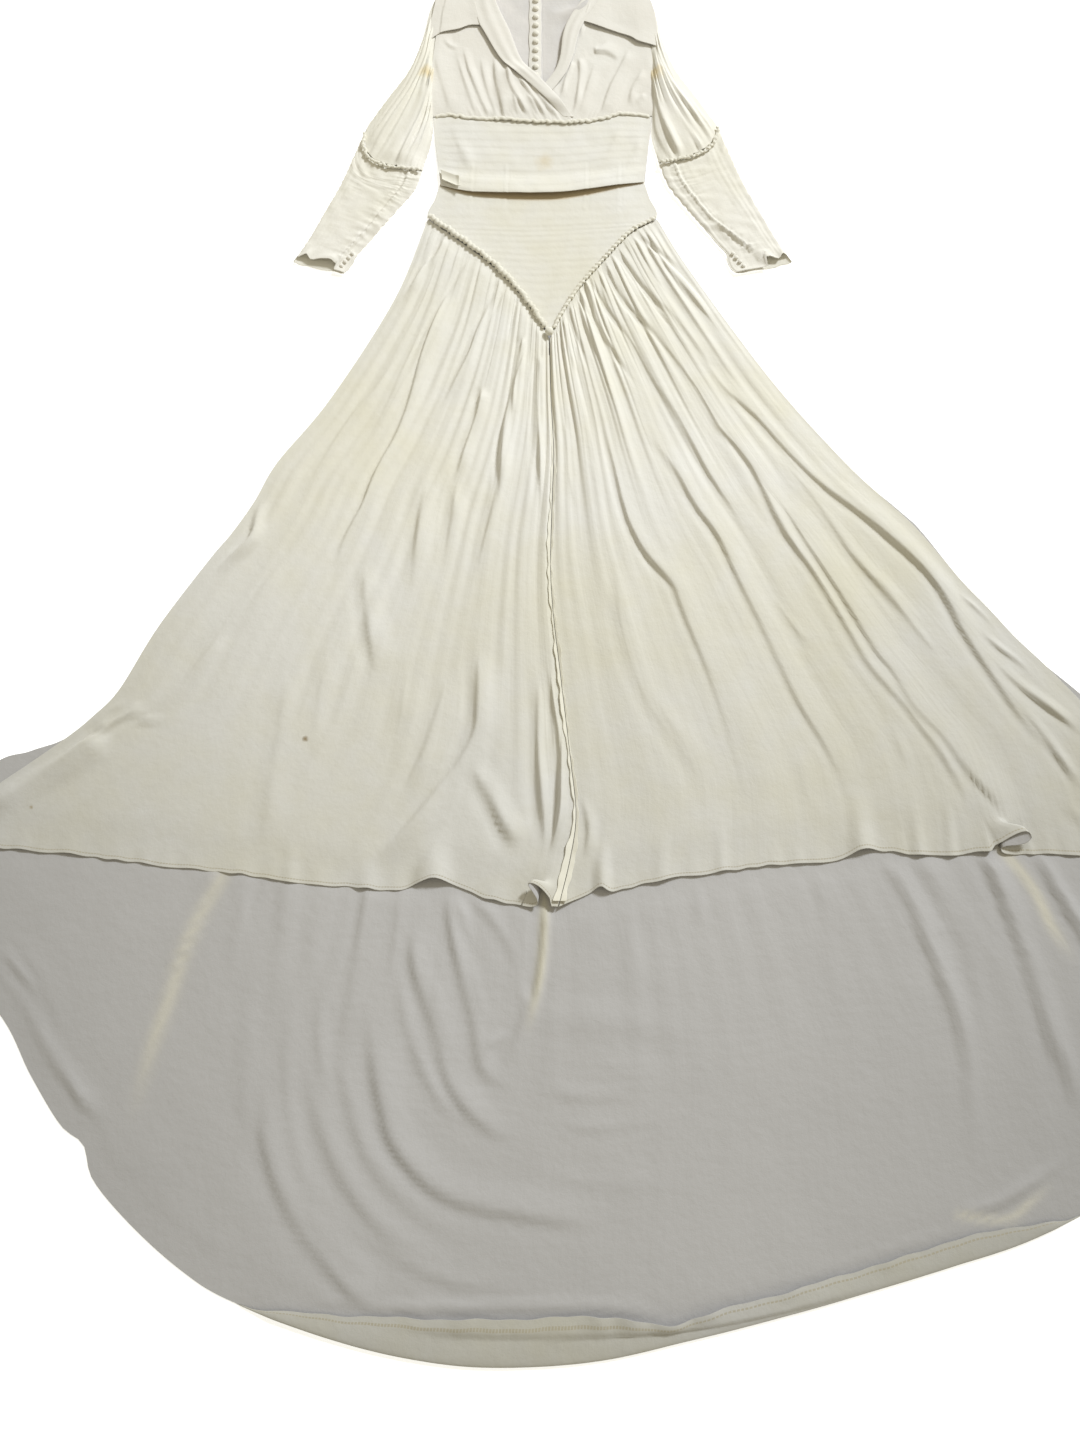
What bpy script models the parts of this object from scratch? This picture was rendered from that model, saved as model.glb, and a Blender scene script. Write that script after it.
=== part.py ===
"""Evening gown with a long train, laid out flat on its back.

The back panels lie on the floor and the front panels lie on them. +Z is up, +Y runs from the hem to the
neck, and +X is the viewer's right. Lengths are in metres. Every wall of cloth is a grid laid on a surface
that functions work out from the gown's sizes, and then thickened.
"""

import math

import bmesh
import bpy
from mathutils import Vector

# Driving dimensions of the body, half widths as the gown lies flat
BODY_X = 0.004
HALF_SHOULDER = 0.167
HALF_UNDERARM = 0.184
HALF_UNDERBUST = 0.176
HALF_WAIST = 0.160
HALF_HIP = 0.179
HALF_NECK = 0.088

# Levels up the body
NECK_Y = 1.035
NAPE_Y = 1.012
SHOULDER_Y = 0.985
UNDERARM_Y = 0.765
UNDERBUST_Y = 0.722
WAIST_Y = 0.588
HIP_Y = 0.532

# Tip of the pointed basque, and where the centre front seam meets the hem
TIP = (0.014, 0.318)
HEM_FRONT = (0.024, -0.532)

# The pointed seam from the side to the tip: x, y
POINTED_SEAM = {
    -1: [(-0.175, 0.532), (-0.132, 0.496), (-0.085, 0.456), (-0.046, 0.414), (-0.015, 0.370),
         (0.006, 0.333), TIP],
    1: [(0.183, 0.532), (0.140, 0.503), (0.100, 0.456), (0.061, 0.406), (0.035, 0.362),
        (0.021, 0.331), TIP],
}

# Cloth
BACK_WALL = 0.0015
WALL = 0.0012
SEAM = 0.0003
LIE = BACK_WALL + SEAM

# Seams and trims
BAND_SHARE = 0.15
RIB_HEIGHT = 0.0009
MIDRIFF_RIBS = 10
BASQUE_RIBS = 19
PIPING_RADIUS = {-1: 0.0050, 1: 0.0034}
FRILL_RADIUS = 0.0017
BUTTON_PITCH = 0.017
BUTTON_COUNT = 11
BUTTON_RADIUS = 0.0045
CUFF_BUTTON_RADIUS = 0.0032
CURVE_STEPS = 12
MERGE = 1e-5

# Most that the front panels stand off the back, over the body and at the armholes
EASE = 0.0022
ARMHOLE_EASE = 0.0018

IVORY = (0.83, 0.80, 0.70)
CREAM = (0.80, 0.75, 0.63)
INSIDE = (0.62, 0.61, 0.60)

# Outlines of the skirt, as it lies: x, y
SKIRT_SIDE = {
    -1: [(-0.175, 0.530), (-0.222, 0.388), (-0.312, 0.216), (-0.420, 0.045), (-0.520, -0.131),
         (-0.622, -0.284), (-0.728, -0.368), (-0.815, -0.440)],
    1: [(0.183, 0.530), (0.231, 0.438), (0.344, 0.250), (0.492, 0.045), (0.596, -0.074),
        (0.695, -0.193), (0.790, -0.310), (0.838, -0.462)],
}
FRONT_HEM = {
    -1: [(-0.815, -0.440), (-0.582, -0.469), (-0.316, -0.496), (-0.190, -0.506), (-0.132, -0.497),
         (-0.060, -0.524), HEM_FRONT],
    1: [(0.838, -0.462), (0.622, -0.466), (0.438, -0.455), (0.290, -0.485), (0.120, -0.500), HEM_FRONT],
}
CENTRE_FRONT = [TIP, (0.018, 0.160), (0.016, -0.020), (0.030, -0.240), (0.048, -0.420), HEM_FRONT]
BACK_SIDE = {
    -1: [(-0.179, 0.528), (-0.228, 0.386), (-0.318, 0.214), (-0.427, 0.043), (-0.530, -0.130),
         (-0.640, -0.268), (-0.750, -0.345), (-0.858, -0.480)],
    1: [(0.187, 0.528), (0.238, 0.438), (0.351, 0.252), (0.499, 0.048), (0.605, -0.070),
        (0.705, -0.185), (0.800, -0.300), (0.858, -0.500)],
}
TRAIN_EDGE = [(-0.858, -0.480), (-0.790, -0.570), (-0.689, -0.675), (-0.590, -0.810), (-0.499, -0.913),
              (-0.371, -0.995), (-0.200, -1.050), (0.000, -1.065), (0.190, -1.038), (0.396, -0.985),
              (0.600, -0.925), (0.740, -0.860), (0.810, -0.770), (0.855, -0.640), (0.858, -0.500)]

# Gathers from the pointed seam to the hem, from the side to the centre front, in millimetres:
# height below the seam, height in the lower skirt, and the share of the length over which the first fades
SKIRT_GATHERS = {
    -1: [(3, 1, 0.5), (5, 2, 0.6), (4, 0, 0.4), (7, 3, 0.7), (4, 1, 0.4), (8, 5, 0.8), (5, 1, 0.5),
         (6, 2, 0.5), (8, 6, 0.8), (5, 1, 0.4), (7, 3, 0.7), (5, 2, 0.5), (8, 5, 0.9), (4, 1, 0.4),
         (6, 3, 0.5), (7, 2, 0.6), (5, 4, 0.5)],
    1: [(4, 2, 0.5), (8, 9, 0.8), (6, 1, 0.4), (11, 12, 0.9), (6, 2, 0.4), (9, 3, 0.6), (12, 14, 0.9),
        (6, 2, 0.4), (9, 7, 0.8), (5, 1, 0.4), (10, 6, 0.7), (7, 2, 0.5), (9, 5, 0.6), (5, 1, 0.4),
        (8, 4, 0.6), (5, 2, 0.5), (6, 3, 0.5)],
}
# Where each gather's wall stands across it, and how high, as shares
GATHER_PROFILE = [(0.0, 0.0), (0.42, 1.0), (0.74, 0.45)]

# Waves that lift the front hem: x, height and half length in metres
HEM_WAVES = [(-0.132, 0.016, 0.045), (0.005, 0.018, 0.022), (0.085, 0.012, 0.025), (0.438, 0.010, 0.040),
             (0.602, 0.020, 0.028)]

# Ridges in the train: start x, y, end x, y, bow to the right of its run, height, half width, in metres
TRAIN_RIDGES = [
    (-0.235, -0.52, -0.010, -1.010, -0.070, 0.009, 0.036),
    (-0.130, -0.50, 0.230, -0.900, -0.120, 0.009, 0.036),
    (-0.060, -0.52, 0.080, -0.760, -0.050, 0.007, 0.030),
    (0.030, -0.45, -0.020, -0.640, 0.010, 0.008, 0.022),
    (0.420, -0.42, 0.560, -0.730, 0.015, 0.011, 0.032),
    (0.540, -0.42, 0.690, -0.860, 0.010, 0.010, 0.034),
    (0.640, -0.42, 0.790, -0.700, 0.010, 0.009, 0.034),
    (-0.690, -0.500, -0.560, -0.820, -0.020, 0.009, 0.034),
]

# Rows of the turned-up train hem, from the floor round the fold: share of the turn come back, height
TURN_ROWS = [(0.10, 0.0), (0.0, 0.0004), (-0.05, 0.0031), (0.04, 0.0058), (0.55, 0.0066), (1.0, 0.0060)]
TURN_LEAST = 0.008
TURN_MOST = 0.050

# Sleeve sections from the armhole down, on the viewer's right: outer x, y, inner x, y, height, gathers
UPPER_SLEEVE = [
    (0.1683, 0.9840, 0.1856, 0.7660, 0.0050, 0.0010),
    (0.1850, 0.9450, 0.1885, 0.7480, 0.0056, 0.0030),
    (0.1990, 0.8800, 0.1885, 0.7280, 0.0060, 0.0045),
    (0.2280, 0.8020, 0.1860, 0.7000, 0.0060, 0.0060),
    (0.2600, 0.7480, 0.1825, 0.6680, 0.0060, 0.0065),
    (0.2830, 0.7080, 0.1850, 0.6380, 0.0060, 0.0040),
]
LOWER_SLEEVE = [
    (0.2834, 0.7074, 0.1854, 0.6374, 0.0056, 0.0014),
    (0.3000, 0.6500, 0.2080, 0.5920, 0.0056, 0.0014),
    (0.3180, 0.5950, 0.2300, 0.5470, 0.0056, 0.0014),
    (0.3370, 0.5450, 0.2560, 0.5080, 0.0056, 0.0014),
    (0.3560, 0.4990, 0.2820, 0.4720, 0.0060, 0.0012),
    (0.3750, 0.4560, 0.3090, 0.4360, 0.0060, 0.0010),
]
# Slit in the cuff: half gap as a share of the sleeve's half width, for each section of the lower sleeve
CUFF_SLIT = [0.0, 0.0, 0.0, 0.0, 0.07, 0.14]
SLIT_AT = -0.58

# Rows of a front skirt panel and of a back panel, as shares of the way down
SKIRT_ROWS = [0.0, 0.02, 0.07, 0.15, 0.26, 0.38, 0.50, 0.63, 0.76, 0.88, 0.95, 1.0]
BACK_ROWS = [0.0, 0.17, 0.32, 0.45, 0.54, 0.62, 0.69, 0.75, 0.81, 0.87, 0.93, 0.985]


def smooth(t):
    """0 below 0, 1 above 1, and an even rise between."""
    t = min(1.0, max(0.0, t))
    return t * t * (3 - 2 * t)


def smooth_line(points):
    """A function of 0 to 1 that runs at an even speed along a smooth curve through the points."""
    knots = [Vector(p) for p in points]
    ends = [2 * knots[0] - knots[1], *knots, 2 * knots[-1] - knots[-2]]
    fine = []
    for a, b, c, d in zip(ends, ends[1:], ends[2:], ends[3:]):
        for k in range(CURVE_STEPS):
            t = k / CURVE_STEPS
            fine.append(0.5 * (2 * b + (c - a) * t + (2 * a - 5 * b + 4 * c - d) * t**2
                               + (3 * b - a - 3 * c + d) * t**3))
    fine.append(knots[-1])
    reach = [0.0]
    for a, b in zip(fine, fine[1:]):
        reach.append(reach[-1] + (b - a).length)

    def at(t):
        goal = min(1.0, max(0.0, t)) * reach[-1]
        k = next((i for i, r in enumerate(reach[1:]) if r >= goal), len(fine) - 2)
        return fine[k].lerp(fine[k + 1], (goal - reach[k]) / (reach[k + 1] - reach[k]))

    return at


def patch(top, bottom, start, end):
    """A function of (u, v) that fills four edges: top and bottom run along u, start and end run along v."""
    corners = top(0), top(1), bottom(0), bottom(1)

    def at(u, v):
        across = top(u).lerp(bottom(u), v)
        down = start(v).lerp(end(v), u)
        corner = corners[0].lerp(corners[1], u).lerp(corners[2].lerp(corners[3], u), v)
        return across + down - corner

    return at


def on_grid(surface, columns, rows):
    """The surface as its own flat faces show it, for what is sewn on top of them."""

    def at(u, v):
        i, j = min(columns - 1, int(u * columns)), min(rows - 1, int(v * rows))
        high, low = (
            surface(i / columns, row / rows).lerp(surface((i + 1) / columns, row / rows), u * columns - i)
            for row in (j, j + 1)
        )
        return high.lerp(low, v * rows - j)

    return at


def lift(spot, height):
    return Vector((spot.x, spot.y, height))


def material(name, colour, roughness):
    made = bpy.data.materials.new(name)
    made.use_nodes = True
    made.diffuse_color = (*colour, 1)
    shader = made.node_tree.nodes["Principled BSDF"]
    shader.inputs["Base Color"].default_value = (*colour, 1)
    shader.inputs["Roughness"].default_value = roughness
    return made


def keep(name, bm, finish):
    """Makes the object of a closed bmesh, with its faces pointing out."""
    bmesh.ops.recalc_face_normals(bm, faces=bm.faces)
    mesh = bpy.data.meshes.new(name)
    bm.to_mesh(mesh)
    bm.free()
    mesh.materials.append(finish)
    mesh.shade_smooth()
    mesh.set_sharp_from_angle(angle=math.radians(50))
    made = bpy.data.objects.new(name, mesh)
    GOWN.objects.link(made)
    return made


def cloth(name, columns, rows, surface, wall, finish, raised=None, outward=None, turned=False):
    """A wall of cloth: a grid laid on surface(u, v) and thickened along its normals.

    The surface is a sheet's underside, and the wall goes upwards, straight up at its edges unless they are
    turned over. A tube's surface is its outside: outward(point) tells which way is out, and a wall below 0
    goes inwards. raised(u, v) adds to the new points alone.
    """
    bm = bmesh.new()
    bmesh.ops.create_grid(bm, x_segments=columns, y_segments=rows, size=0.5)
    extra = bm.verts.layers.float.new("extra")
    for vert in bm.verts:
        u, v = vert.co.x + 0.5, 0.5 - vert.co.y
        vert[extra] = raised(u, v) if raised else 0.0
        vert.co = surface(u, v)
    bmesh.ops.remove_doubles(bm, verts=bm.verts, dist=MERGE)
    bm.normal_update()
    bm.faces.ensure_lookup_table()
    middle = bm.faces[len(bm.faces) // 2]
    way = outward(middle.calc_center_median()) if outward else Vector((0, 0, 1))
    if middle.normal.dot(way) < 0:
        bmesh.ops.reverse_faces(bm, faces=bm.faces)
        bm.normal_update()
    target = bm.verts.layers.float_vector.new("target")
    straight = not (outward or turned)
    for vert in bm.verts:
        way = Vector((0, 0, 1)) if straight and vert.is_boundary else vert.normal
        vert[target] = vert.co + way * (wall + vert[extra])
    made = bmesh.ops.extrude_face_region(bm, geom=bm.faces[:])
    for vert in made["geom"]:
        if isinstance(vert, bmesh.types.BMVert):
            vert.co = vert[target]
    return keep(name, bm, finish)


def cord(name, route, radii, sides, finish):
    """A thin tube along the route, with the radius of each point."""
    curve = bpy.data.curves.new(name, "CURVE")
    curve.dimensions = "3D"
    curve.bevel_depth = 1.0
    curve.bevel_resolution = (sides - 4) // 2
    curve.use_fill_caps = True
    line = curve.splines.new("POLY")
    line.points.add(len(route) - 1)
    for point, spot, radius in zip(line.points, route, radii):
        point.co = (*spot, 1)
        point.radius = radius
    curve.materials.append(finish)
    made = bpy.data.objects.new(name, curve)
    GOWN.objects.link(made)
    return made


def knob(name, spot, radius, flat, finish):
    """A covered button: a small sphere, flattened by its share of height and resting on the spot."""
    bm = bmesh.new()
    bmesh.ops.create_uvsphere(bm, u_segments=7, v_segments=4, radius=radius)
    bmesh.ops.scale(bm, vec=(1, 1, flat), verts=bm.verts)
    bmesh.ops.translate(bm, vec=spot + Vector((0, 0, radius * flat)), verts=bm.verts)
    return keep(name, bm, finish)


def body(side, half, y):
    """A point on the gown's side: -1 is the viewer's left and 1 the right."""
    return (BODY_X + side * half, y)


# The neckline crosses over at the front: inner edge from the shoulder to the seam under the bust
def neckline(side):
    return smooth_line([body(side, HALF_NECK, NECK_Y), body(side, 0.076, 0.945), body(side, 0.040, 0.845),
                        body(side, 0.004, 0.795), body(-side, 0.050, UNDERBUST_Y + 0.0015)])


BUST_COLUMNS = 22
BUST_ROWS = 7
BUST_WAVE = (0.0, 0.0058, 0.0024)
CROSSOVER = 0.0060


def bodice_plan(side):
    """Plan of a front bodice: u from the side to the neckline, v from the shoulder to the underbust seam."""
    foot = UNDERBUST_Y + 0.0015
    shoulder = smooth_line([body(side, HALF_SHOULDER, SHOULDER_Y), body(side, HALF_NECK, NECK_Y)])
    sides = smooth_line([body(side, HALF_SHOULDER, SHOULDER_Y), body(side, 0.1758, 0.875),
                         body(side, HALF_UNDERARM, UNDERARM_Y), body(side, HALF_UNDERBUST, foot)])
    seam = smooth_line([body(side, HALF_UNDERBUST, foot), body(-side, 0.050, foot)])
    return patch(shoulder, seam, sides, neckline(side))


def bodice_under(side):
    """Underside of a front bodice, with its gathers, and with the left side's point over the right's."""
    plan = bodice_plan(side)

    def at(u, v):
        spot = plan(u, v)
        armhole = math.sin(math.pi * min(1.0, v / 0.8)) * (1 - smooth(u / 0.25))
        rise = EASE * smooth(u / 0.22) + ARMHOLE_EASE * armhole
        gathered = smooth((u - 0.24) / 0.08) * (1 - smooth((u - 0.64) / 0.10))
        wave = BUST_WAVE[round(u * BUST_COLUMNS) % len(BUST_WAVE)]
        rise += wave * gathered * smooth((v - 0.40) / 0.25) * (1 - 0.7 * smooth((v - 0.85) / 0.15))
        if side < 0:
            rise += CROSSOVER * smooth((spot.x + 0.080) / 0.03) * smooth((0.835 - spot.y) / 0.03)
        return lift(spot, LIE + rise)

    return at


def make_bodice(side, label):
    under = bodice_under(side)
    shown = on_grid(under, BUST_COLUMNS, BUST_ROWS)
    cloth(f"bodice_front_{label}", BUST_COLUMNS, BUST_ROWS, under, WALL, OUTSIDE_FINISH)

    def band(u, v):
        return shown(1 - BAND_SHARE * (1 - u), v) + Vector((0, 0, WALL + 2 * SEAM))

    cloth(f"neck_band_{label}", 3, 2 * BUST_ROWS, band, WALL, OUTSIDE_FINISH)
    make_collar(side, label, shown)


def make_collar(side, label, bodice):
    """A collar wing sewn along the neck band, which lies over the shoulder and the head of the sleeve."""
    length = 0.38

    def sewn(v):
        return bodice(0.985 - BAND_SHARE, 0.02 + (length - 0.02) * v) + Vector((0, 0, WALL + SEAM))

    outer = smooth_line([(*body(side, 0.156, 1.008), 0.0092), (*body(side, 0.182, 0.945), 0.0112),
                         (*body(side, 0.193, 0.866), 0.0125)])
    top = smooth_line([sewn(0), (*body(side, 0.120, 1.026), 0.0078), outer(0)])
    low = smooth_line([sewn(1), (*body(side, 0.116, 0.893), 0.0100), (*body(side, 0.150, 0.878), 0.0120),
                       outer(1)])
    cloth(f"collar_{label}", 6, 5, patch(top, low, sewn, outer), WALL, OUTSIDE_FINISH)


def back_top(side):
    """Top edge of the back bodice, from the tip of the shoulder to the nape."""
    return smooth_line([body(side, HALF_SHOULDER - 0.001, SHOULDER_Y - 0.002),
                        body(side, HALF_NECK, NECK_Y - 0.0035), body(side, 0.045, 1.018), body(side, 0.0, NAPE_Y)])


def make_back_collar():
    """The collar goes on behind the neck as a plain turned strip."""
    neck = [0.53, 0.64, 0.77, 0.90, 1.0]
    clear = Vector((0, 0.0021))
    left, right = ([back_top(side)(t) + clear for t in neck] for side in (-1, 1))
    inner = smooth_line([*left, *reversed(right[:-1])])
    outer = smooth_line([body(-1, 0.106, 1.0560), body(-1, 0.060, 1.0620), body(1, 0.0, 1.0630),
                         body(1, 0.060, 1.0620), body(1, 0.106, 1.0560)])

    def under(u, v):
        return lift(outer(u).lerp(inner(u), v), 0.0020 * math.sin(math.pi * v))

    cloth("collar_back", 12, 3, under, BACK_WALL, OUTSIDE_FINISH)


def side_rise(u, height):
    return height * smooth(min(u, 1 - u) / 0.16)


MIDRIFF_COLUMNS = 8


def make_midriff():
    """The shirred band between the bust and the waist, whose lower edge stands off the basque."""
    top = smooth_line([body(-1, HALF_UNDERBUST, UNDERBUST_Y), body(1, HALF_UNDERBUST, UNDERBUST_Y)])
    low = smooth_line([body(-1, HALF_WAIST, 0.594), body(-1, 0.098, 0.577), body(1, 0.0, 0.574),
                       body(1, 0.060, 0.580), body(1, HALF_WAIST, 0.600)])
    left = smooth_line([top(0), body(-1, 0.170, 0.664), low(0)])
    right = smooth_line([top(1), body(1, 0.168, 0.664), low(1)])
    plan = patch(top, low, left, right)

    lap = WALL + RIB_HEIGHT + SEAM
    lens = 0.0060

    def under(u, v):
        clear = lap * smooth((v - 0.72) / 0.12) + lens * smooth((v - 0.70) / 0.30) * math.sin(math.pi * u)
        return lift(plan(u, v), LIE + side_rise(u, EASE) + clear)

    def ribs(u, v):
        return RIB_HEIGHT * (round(v * 2 * MIDRIFF_RIBS) % 2)

    cloth("midriff_front", MIDRIFF_COLUMNS, 2 * MIDRIFF_RIBS, under, WALL, OUTSIDE_FINISH, ribs)
    shown = on_grid(under, MIDRIFF_COLUMNS, 2 * MIDRIFF_RIBS)

    def tab(u, v):
        spot = shown(0.012 + 0.085 * u, 0.80 + 0.05 * u + 0.13 * v)
        return spot + Vector((0, 0, WALL + RIB_HEIGHT + SEAM))

    cloth("waist_tab", 3, 2, tab, WALL, BAND_FINISH)


def basque_side(side):
    """From the waist down the side and along the pointed seam to the tip, as a function of 0 to 1."""
    inset = Vector((-side * 0.0010, 0.0040))
    seam = [Vector(spot) + inset for spot in POINTED_SEAM[side][:-1]]
    return smooth_line([body(side, HALF_WAIST, 0.603), body(side, 0.168, 0.572), *seam,
                        (TIP[0] + side * 0.0010, TIP[1] + 0.012)])


def basque_level(x, y):
    """Underside of the basque and of the skirt's top edge."""
    reach = HALF_WAIST + (HALF_HIP - HALF_WAIST) * smooth((WAIST_Y - y) / (WAIST_Y - HIP_Y))
    inset = reach - abs(x - BODY_X)
    return LIE + EASE * smooth(inset / 0.05)


def make_basque():
    left, right = basque_side(-1), basque_side(1)

    def under(u, v):
        bow = 0.010 * math.sin(math.pi * u) * (1 - v)
        spot = left(v).lerp(right(v), u)
        return lift(Vector((spot.x, spot.y - bow)), basque_level(spot.x, spot.y))

    def ribs(u, v):
        return RIB_HEIGHT * (round(v * 2 * BASQUE_RIBS) % 2)

    cloth("basque_front", 6, 2 * BASQUE_RIBS, under, WALL, OUTSIDE_FINISH, ribs)


def pointed_seam(side):
    tip = (TIP[0] + side * 0.0010, TIP[1])
    return smooth_line([*POINTED_SEAM[side][:-1], tip])


def make_piping(side, label):
    """A ruched cord over the pointed seam."""
    seam = pointed_seam(side)
    count = 25
    full = PIPING_RADIUS[side]
    route = []
    radii = []
    for k in range(count):
        spot = seam(0.01 + 0.92 * k / (count - 1))
        floor = basque_level(spot.x, spot.y) + WALL + RIB_HEIGHT + SEAM
        route.append(lift(spot + Vector((0, full)), floor + full))
        radii.append(full * (1.0 if k % 2 else 0.74))
    cord(f"seam_piping_{label}", route, radii, 6, BAND_FINISH)


def make_knot():
    """A small covered knot at the point of the basque."""
    spot = Vector((TIP[0], TIP[1] + 0.0075, 0.0052))
    knob("point_knot", spot, 0.0072, 0.75, BAND_FINISH)


def skirt_plan(side):
    """Plan of a front skirt panel: u from the side to the centre front, v from the pointed seam down."""
    gap = 0.0010
    centre = smooth_line([(x + side * gap, y) for x, y in CENTRE_FRONT])
    hem = smooth_line([*FRONT_HEM[side][:-1], (HEM_FRONT[0] + side * gap, HEM_FRONT[1])])
    outside = smooth_line([POINTED_SEAM[side][0], *SKIRT_SIDE[side][1:]])
    return patch(pointed_seam(side), hem, outside, centre)


def hem_wave(x, v):
    rise = 0.0
    for middle, height, reach in HEM_WAVES:
        rise += height * (1 - smooth(abs(x - middle) / reach)) * smooth((v - 0.86) / 0.14)
    return rise


def make_skirt_front(side, label):
    plan = skirt_plan(side)
    gathers = SKIRT_GATHERS[side]
    columns = len(gathers) * len(GATHER_PROFILE)
    rows = len(SKIRT_ROWS) - 1

    def under(u, v):
        down = SKIRT_ROWS[round(v * rows)]
        number, place = divmod(round(u * columns), len(GATHER_PROFILE))
        shift, share = GATHER_PROFILE[place]
        spot = plan(min(1.0, (number + shift) / len(gathers)), down)
        height = 0.0
        if number < len(gathers):
            top, low, fade = gathers[number]
            low *= smooth(down / 0.5)
            fresh = 0.10 + 0.90 * smooth(down / 0.06)
            height = 0.001 * share * (low + (top - low) * (1 - smooth(down / fade))) * fresh
            height *= 1 - 0.55 * smooth((down - 0.85) / 0.15)
        edge = smooth(u / 0.06)
        start = basque_level(*plan(u, 0))
        rest = LIE + 0.9 * EASE * edge * smooth(down / 0.2)
        base = rest + (start - rest) * (1 - smooth(down / 0.2))
        return lift(spot, base + (height + hem_wave(spot.x, down)) * edge)

    cloth(f"skirt_front_{label}", columns, rows, under, WALL, OUTSIDE_FINISH)
    make_front_seam(side, label, on_grid(under, columns, rows), columns, rows)


def make_front_seam(side, label, panel, columns, rows):
    """The narrow seam edge that lies along the centre front, from the point to the hem."""
    width = 0.0080
    inset = 0.0008
    start = 0.045
    count = 2 * rows - 1

    def under(u, v):
        run = start + (0.998 - start) * v
        edge, inner = panel(1.0, run), panel(1.0 - 1.0 / columns, run)
        across = inner - edge
        steep = across.length / across.to_2d().length
        twist = 0.0024 * u * (1 + side * math.sin(math.pi * count * v * 0.38)) / 2
        clear = (1.6 + 0.5 * (side < 0)) * WALL * steep + SEAM + 0.0014 * smooth((run - 0.9) / 0.05)
        spot = edge.lerp(inner, (inset + width * u) / across.length)
        return spot + Vector((0, 0, clear + twist))

    cloth(f"front_seam_{label}", 1, count, under, 0.001, BAND_FINISH)


def front_hem_level(x):
    """Lowest y that the front hem reaches at this x."""
    return -0.466 - 0.082 * max(0.0, 1 - abs(x - 0.010) / 0.50)


def ridge_height(x, y):
    """Height of the train's ridges over the floor."""
    rise = 0.0
    for x0, y0, x1, y1, bow, height, reach in TRAIN_RIDGES:
        start, run = Vector((x0, y0)), Vector((x1 - x0, y1 - y0))
        away = Vector((x, y)) - start
        share = away.dot(run) / run.length_squared
        if not -0.1 < share < 1.1:
            continue
        bend = bow * 4 * share * (1 - share)
        off = (run.x * away.y - run.y * away.x) / run.length + bend
        ends = smooth((share + 0.02) / 0.15) * (1 - smooth((share - 0.8) / 0.25))
        rise = max(rise, height * ends * (1 - smooth(abs(off) / reach)))
    return rise * smooth((front_hem_level(x) - 0.010 - y) / 0.05)


def turn_width(x):
    """How far the train's hem is turned back on itself: wide in the middle, narrow towards the sides."""
    middle, reach = 0.130, 0.480
    return TURN_LEAST + (TURN_MOST - TURN_LEAST) * max(0.0, 1 - ((x - middle) / reach) ** 2)


def make_skirt_back():
    """The back of the skirt, cut in one with the train, whose hem is turned back over its inside."""
    edge = smooth_line(TRAIN_EDGE)
    sides = [smooth_line(BACK_SIDE[side]) for side in (-1, 1)]
    plan = patch(smooth_line([BACK_SIDE[-1][0], BACK_SIDE[1][0]]), edge, *sides)
    flat_rows = len(BACK_ROWS) - 1
    rows = flat_rows + len(TURN_ROWS)

    def under(u, v):
        row = round(v * rows)
        if row <= flat_rows:
            down = BACK_ROWS[row]
            spot = plan(u, down)
            settled = smooth(min(u, 1 - u) / 0.03) * (1 - smooth((down - 0.86) / 0.10))
            return lift(spot, ridge_height(spot.x, spot.y) * settled)
        back, height = TURN_ROWS[row - flat_rows - 1]
        fold = edge(u)
        inward = (plan(u, 0.94) - fold).normalized()
        return lift(fold + inward * back * turn_width(fold.x), height)

    cloth("skirt_back", 36, rows, under, BACK_WALL, INSIDE_FINISH, turned=True)


def make_back(side, label):
    """A flat half of the back bodice, with the half of the basque below it."""
    open_gap = 0.0002
    waist_gap = 0.0006
    middle = BODY_X + side * open_gap
    tucked = 0.002
    waist = (middle, WAIST_Y)
    shift = Vector((side * open_gap, 0))
    edge = back_top(side)

    def top(t):
        return edge(t) + shift * t

    sides = smooth_line([top(0), body(side, 0.1745, 0.875), body(side, HALF_UNDERARM - 0.001, UNDERARM_Y - tucked),
                         body(side, HALF_UNDERBUST, UNDERBUST_Y), body(side, HALF_WAIST, WAIST_Y)])
    plan = patch(top, smooth_line([sides(1), waist]), sides, smooth_line([top(1), waist]))
    cloth(f"bodice_back_{label}", 6, 7, lambda u, v: lift(plan(u, v), 0.0), BACK_WALL, INSIDE_FINISH)
    high = smooth_line([body(side, HALF_WAIST, WAIST_Y - waist_gap), (middle, WAIST_Y - waist_gap)])
    low = smooth_line([body(side, HALF_HIP, HIP_Y - 0.003), (middle, HIP_Y - 0.003)])
    basque = patch(high, low, smooth_line([high(0), low(0)]), smooth_line([high(1), low(1)]))
    cloth(f"basque_back_{label}", 4, 2, lambda u, v: lift(basque(u, v), 0.0), BACK_WALL, INSIDE_FINISH)


def make_back_closing():
    """The placket down the inside of the back and the covered buttons that show along its edge."""
    width = 0.020
    left = BODY_X - 0.006
    foot = UNDERBUST_Y

    def under(u, v):
        return Vector((left + width * u, NAPE_Y - 0.004 + (foot - NAPE_Y) * v, LIE))

    cloth("back_placket", 2, 8, under, 0.0008, INSIDE_FINISH)
    for k in range(BUTTON_COUNT):
        y = 0.808 + BUTTON_PITCH * k
        spot = Vector((left - BUTTON_RADIUS - SEAM, y, LIE))
        knob(f"back_button_{k + 1}", spot, BUTTON_RADIUS, 0.72, BAND_FINISH)


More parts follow.
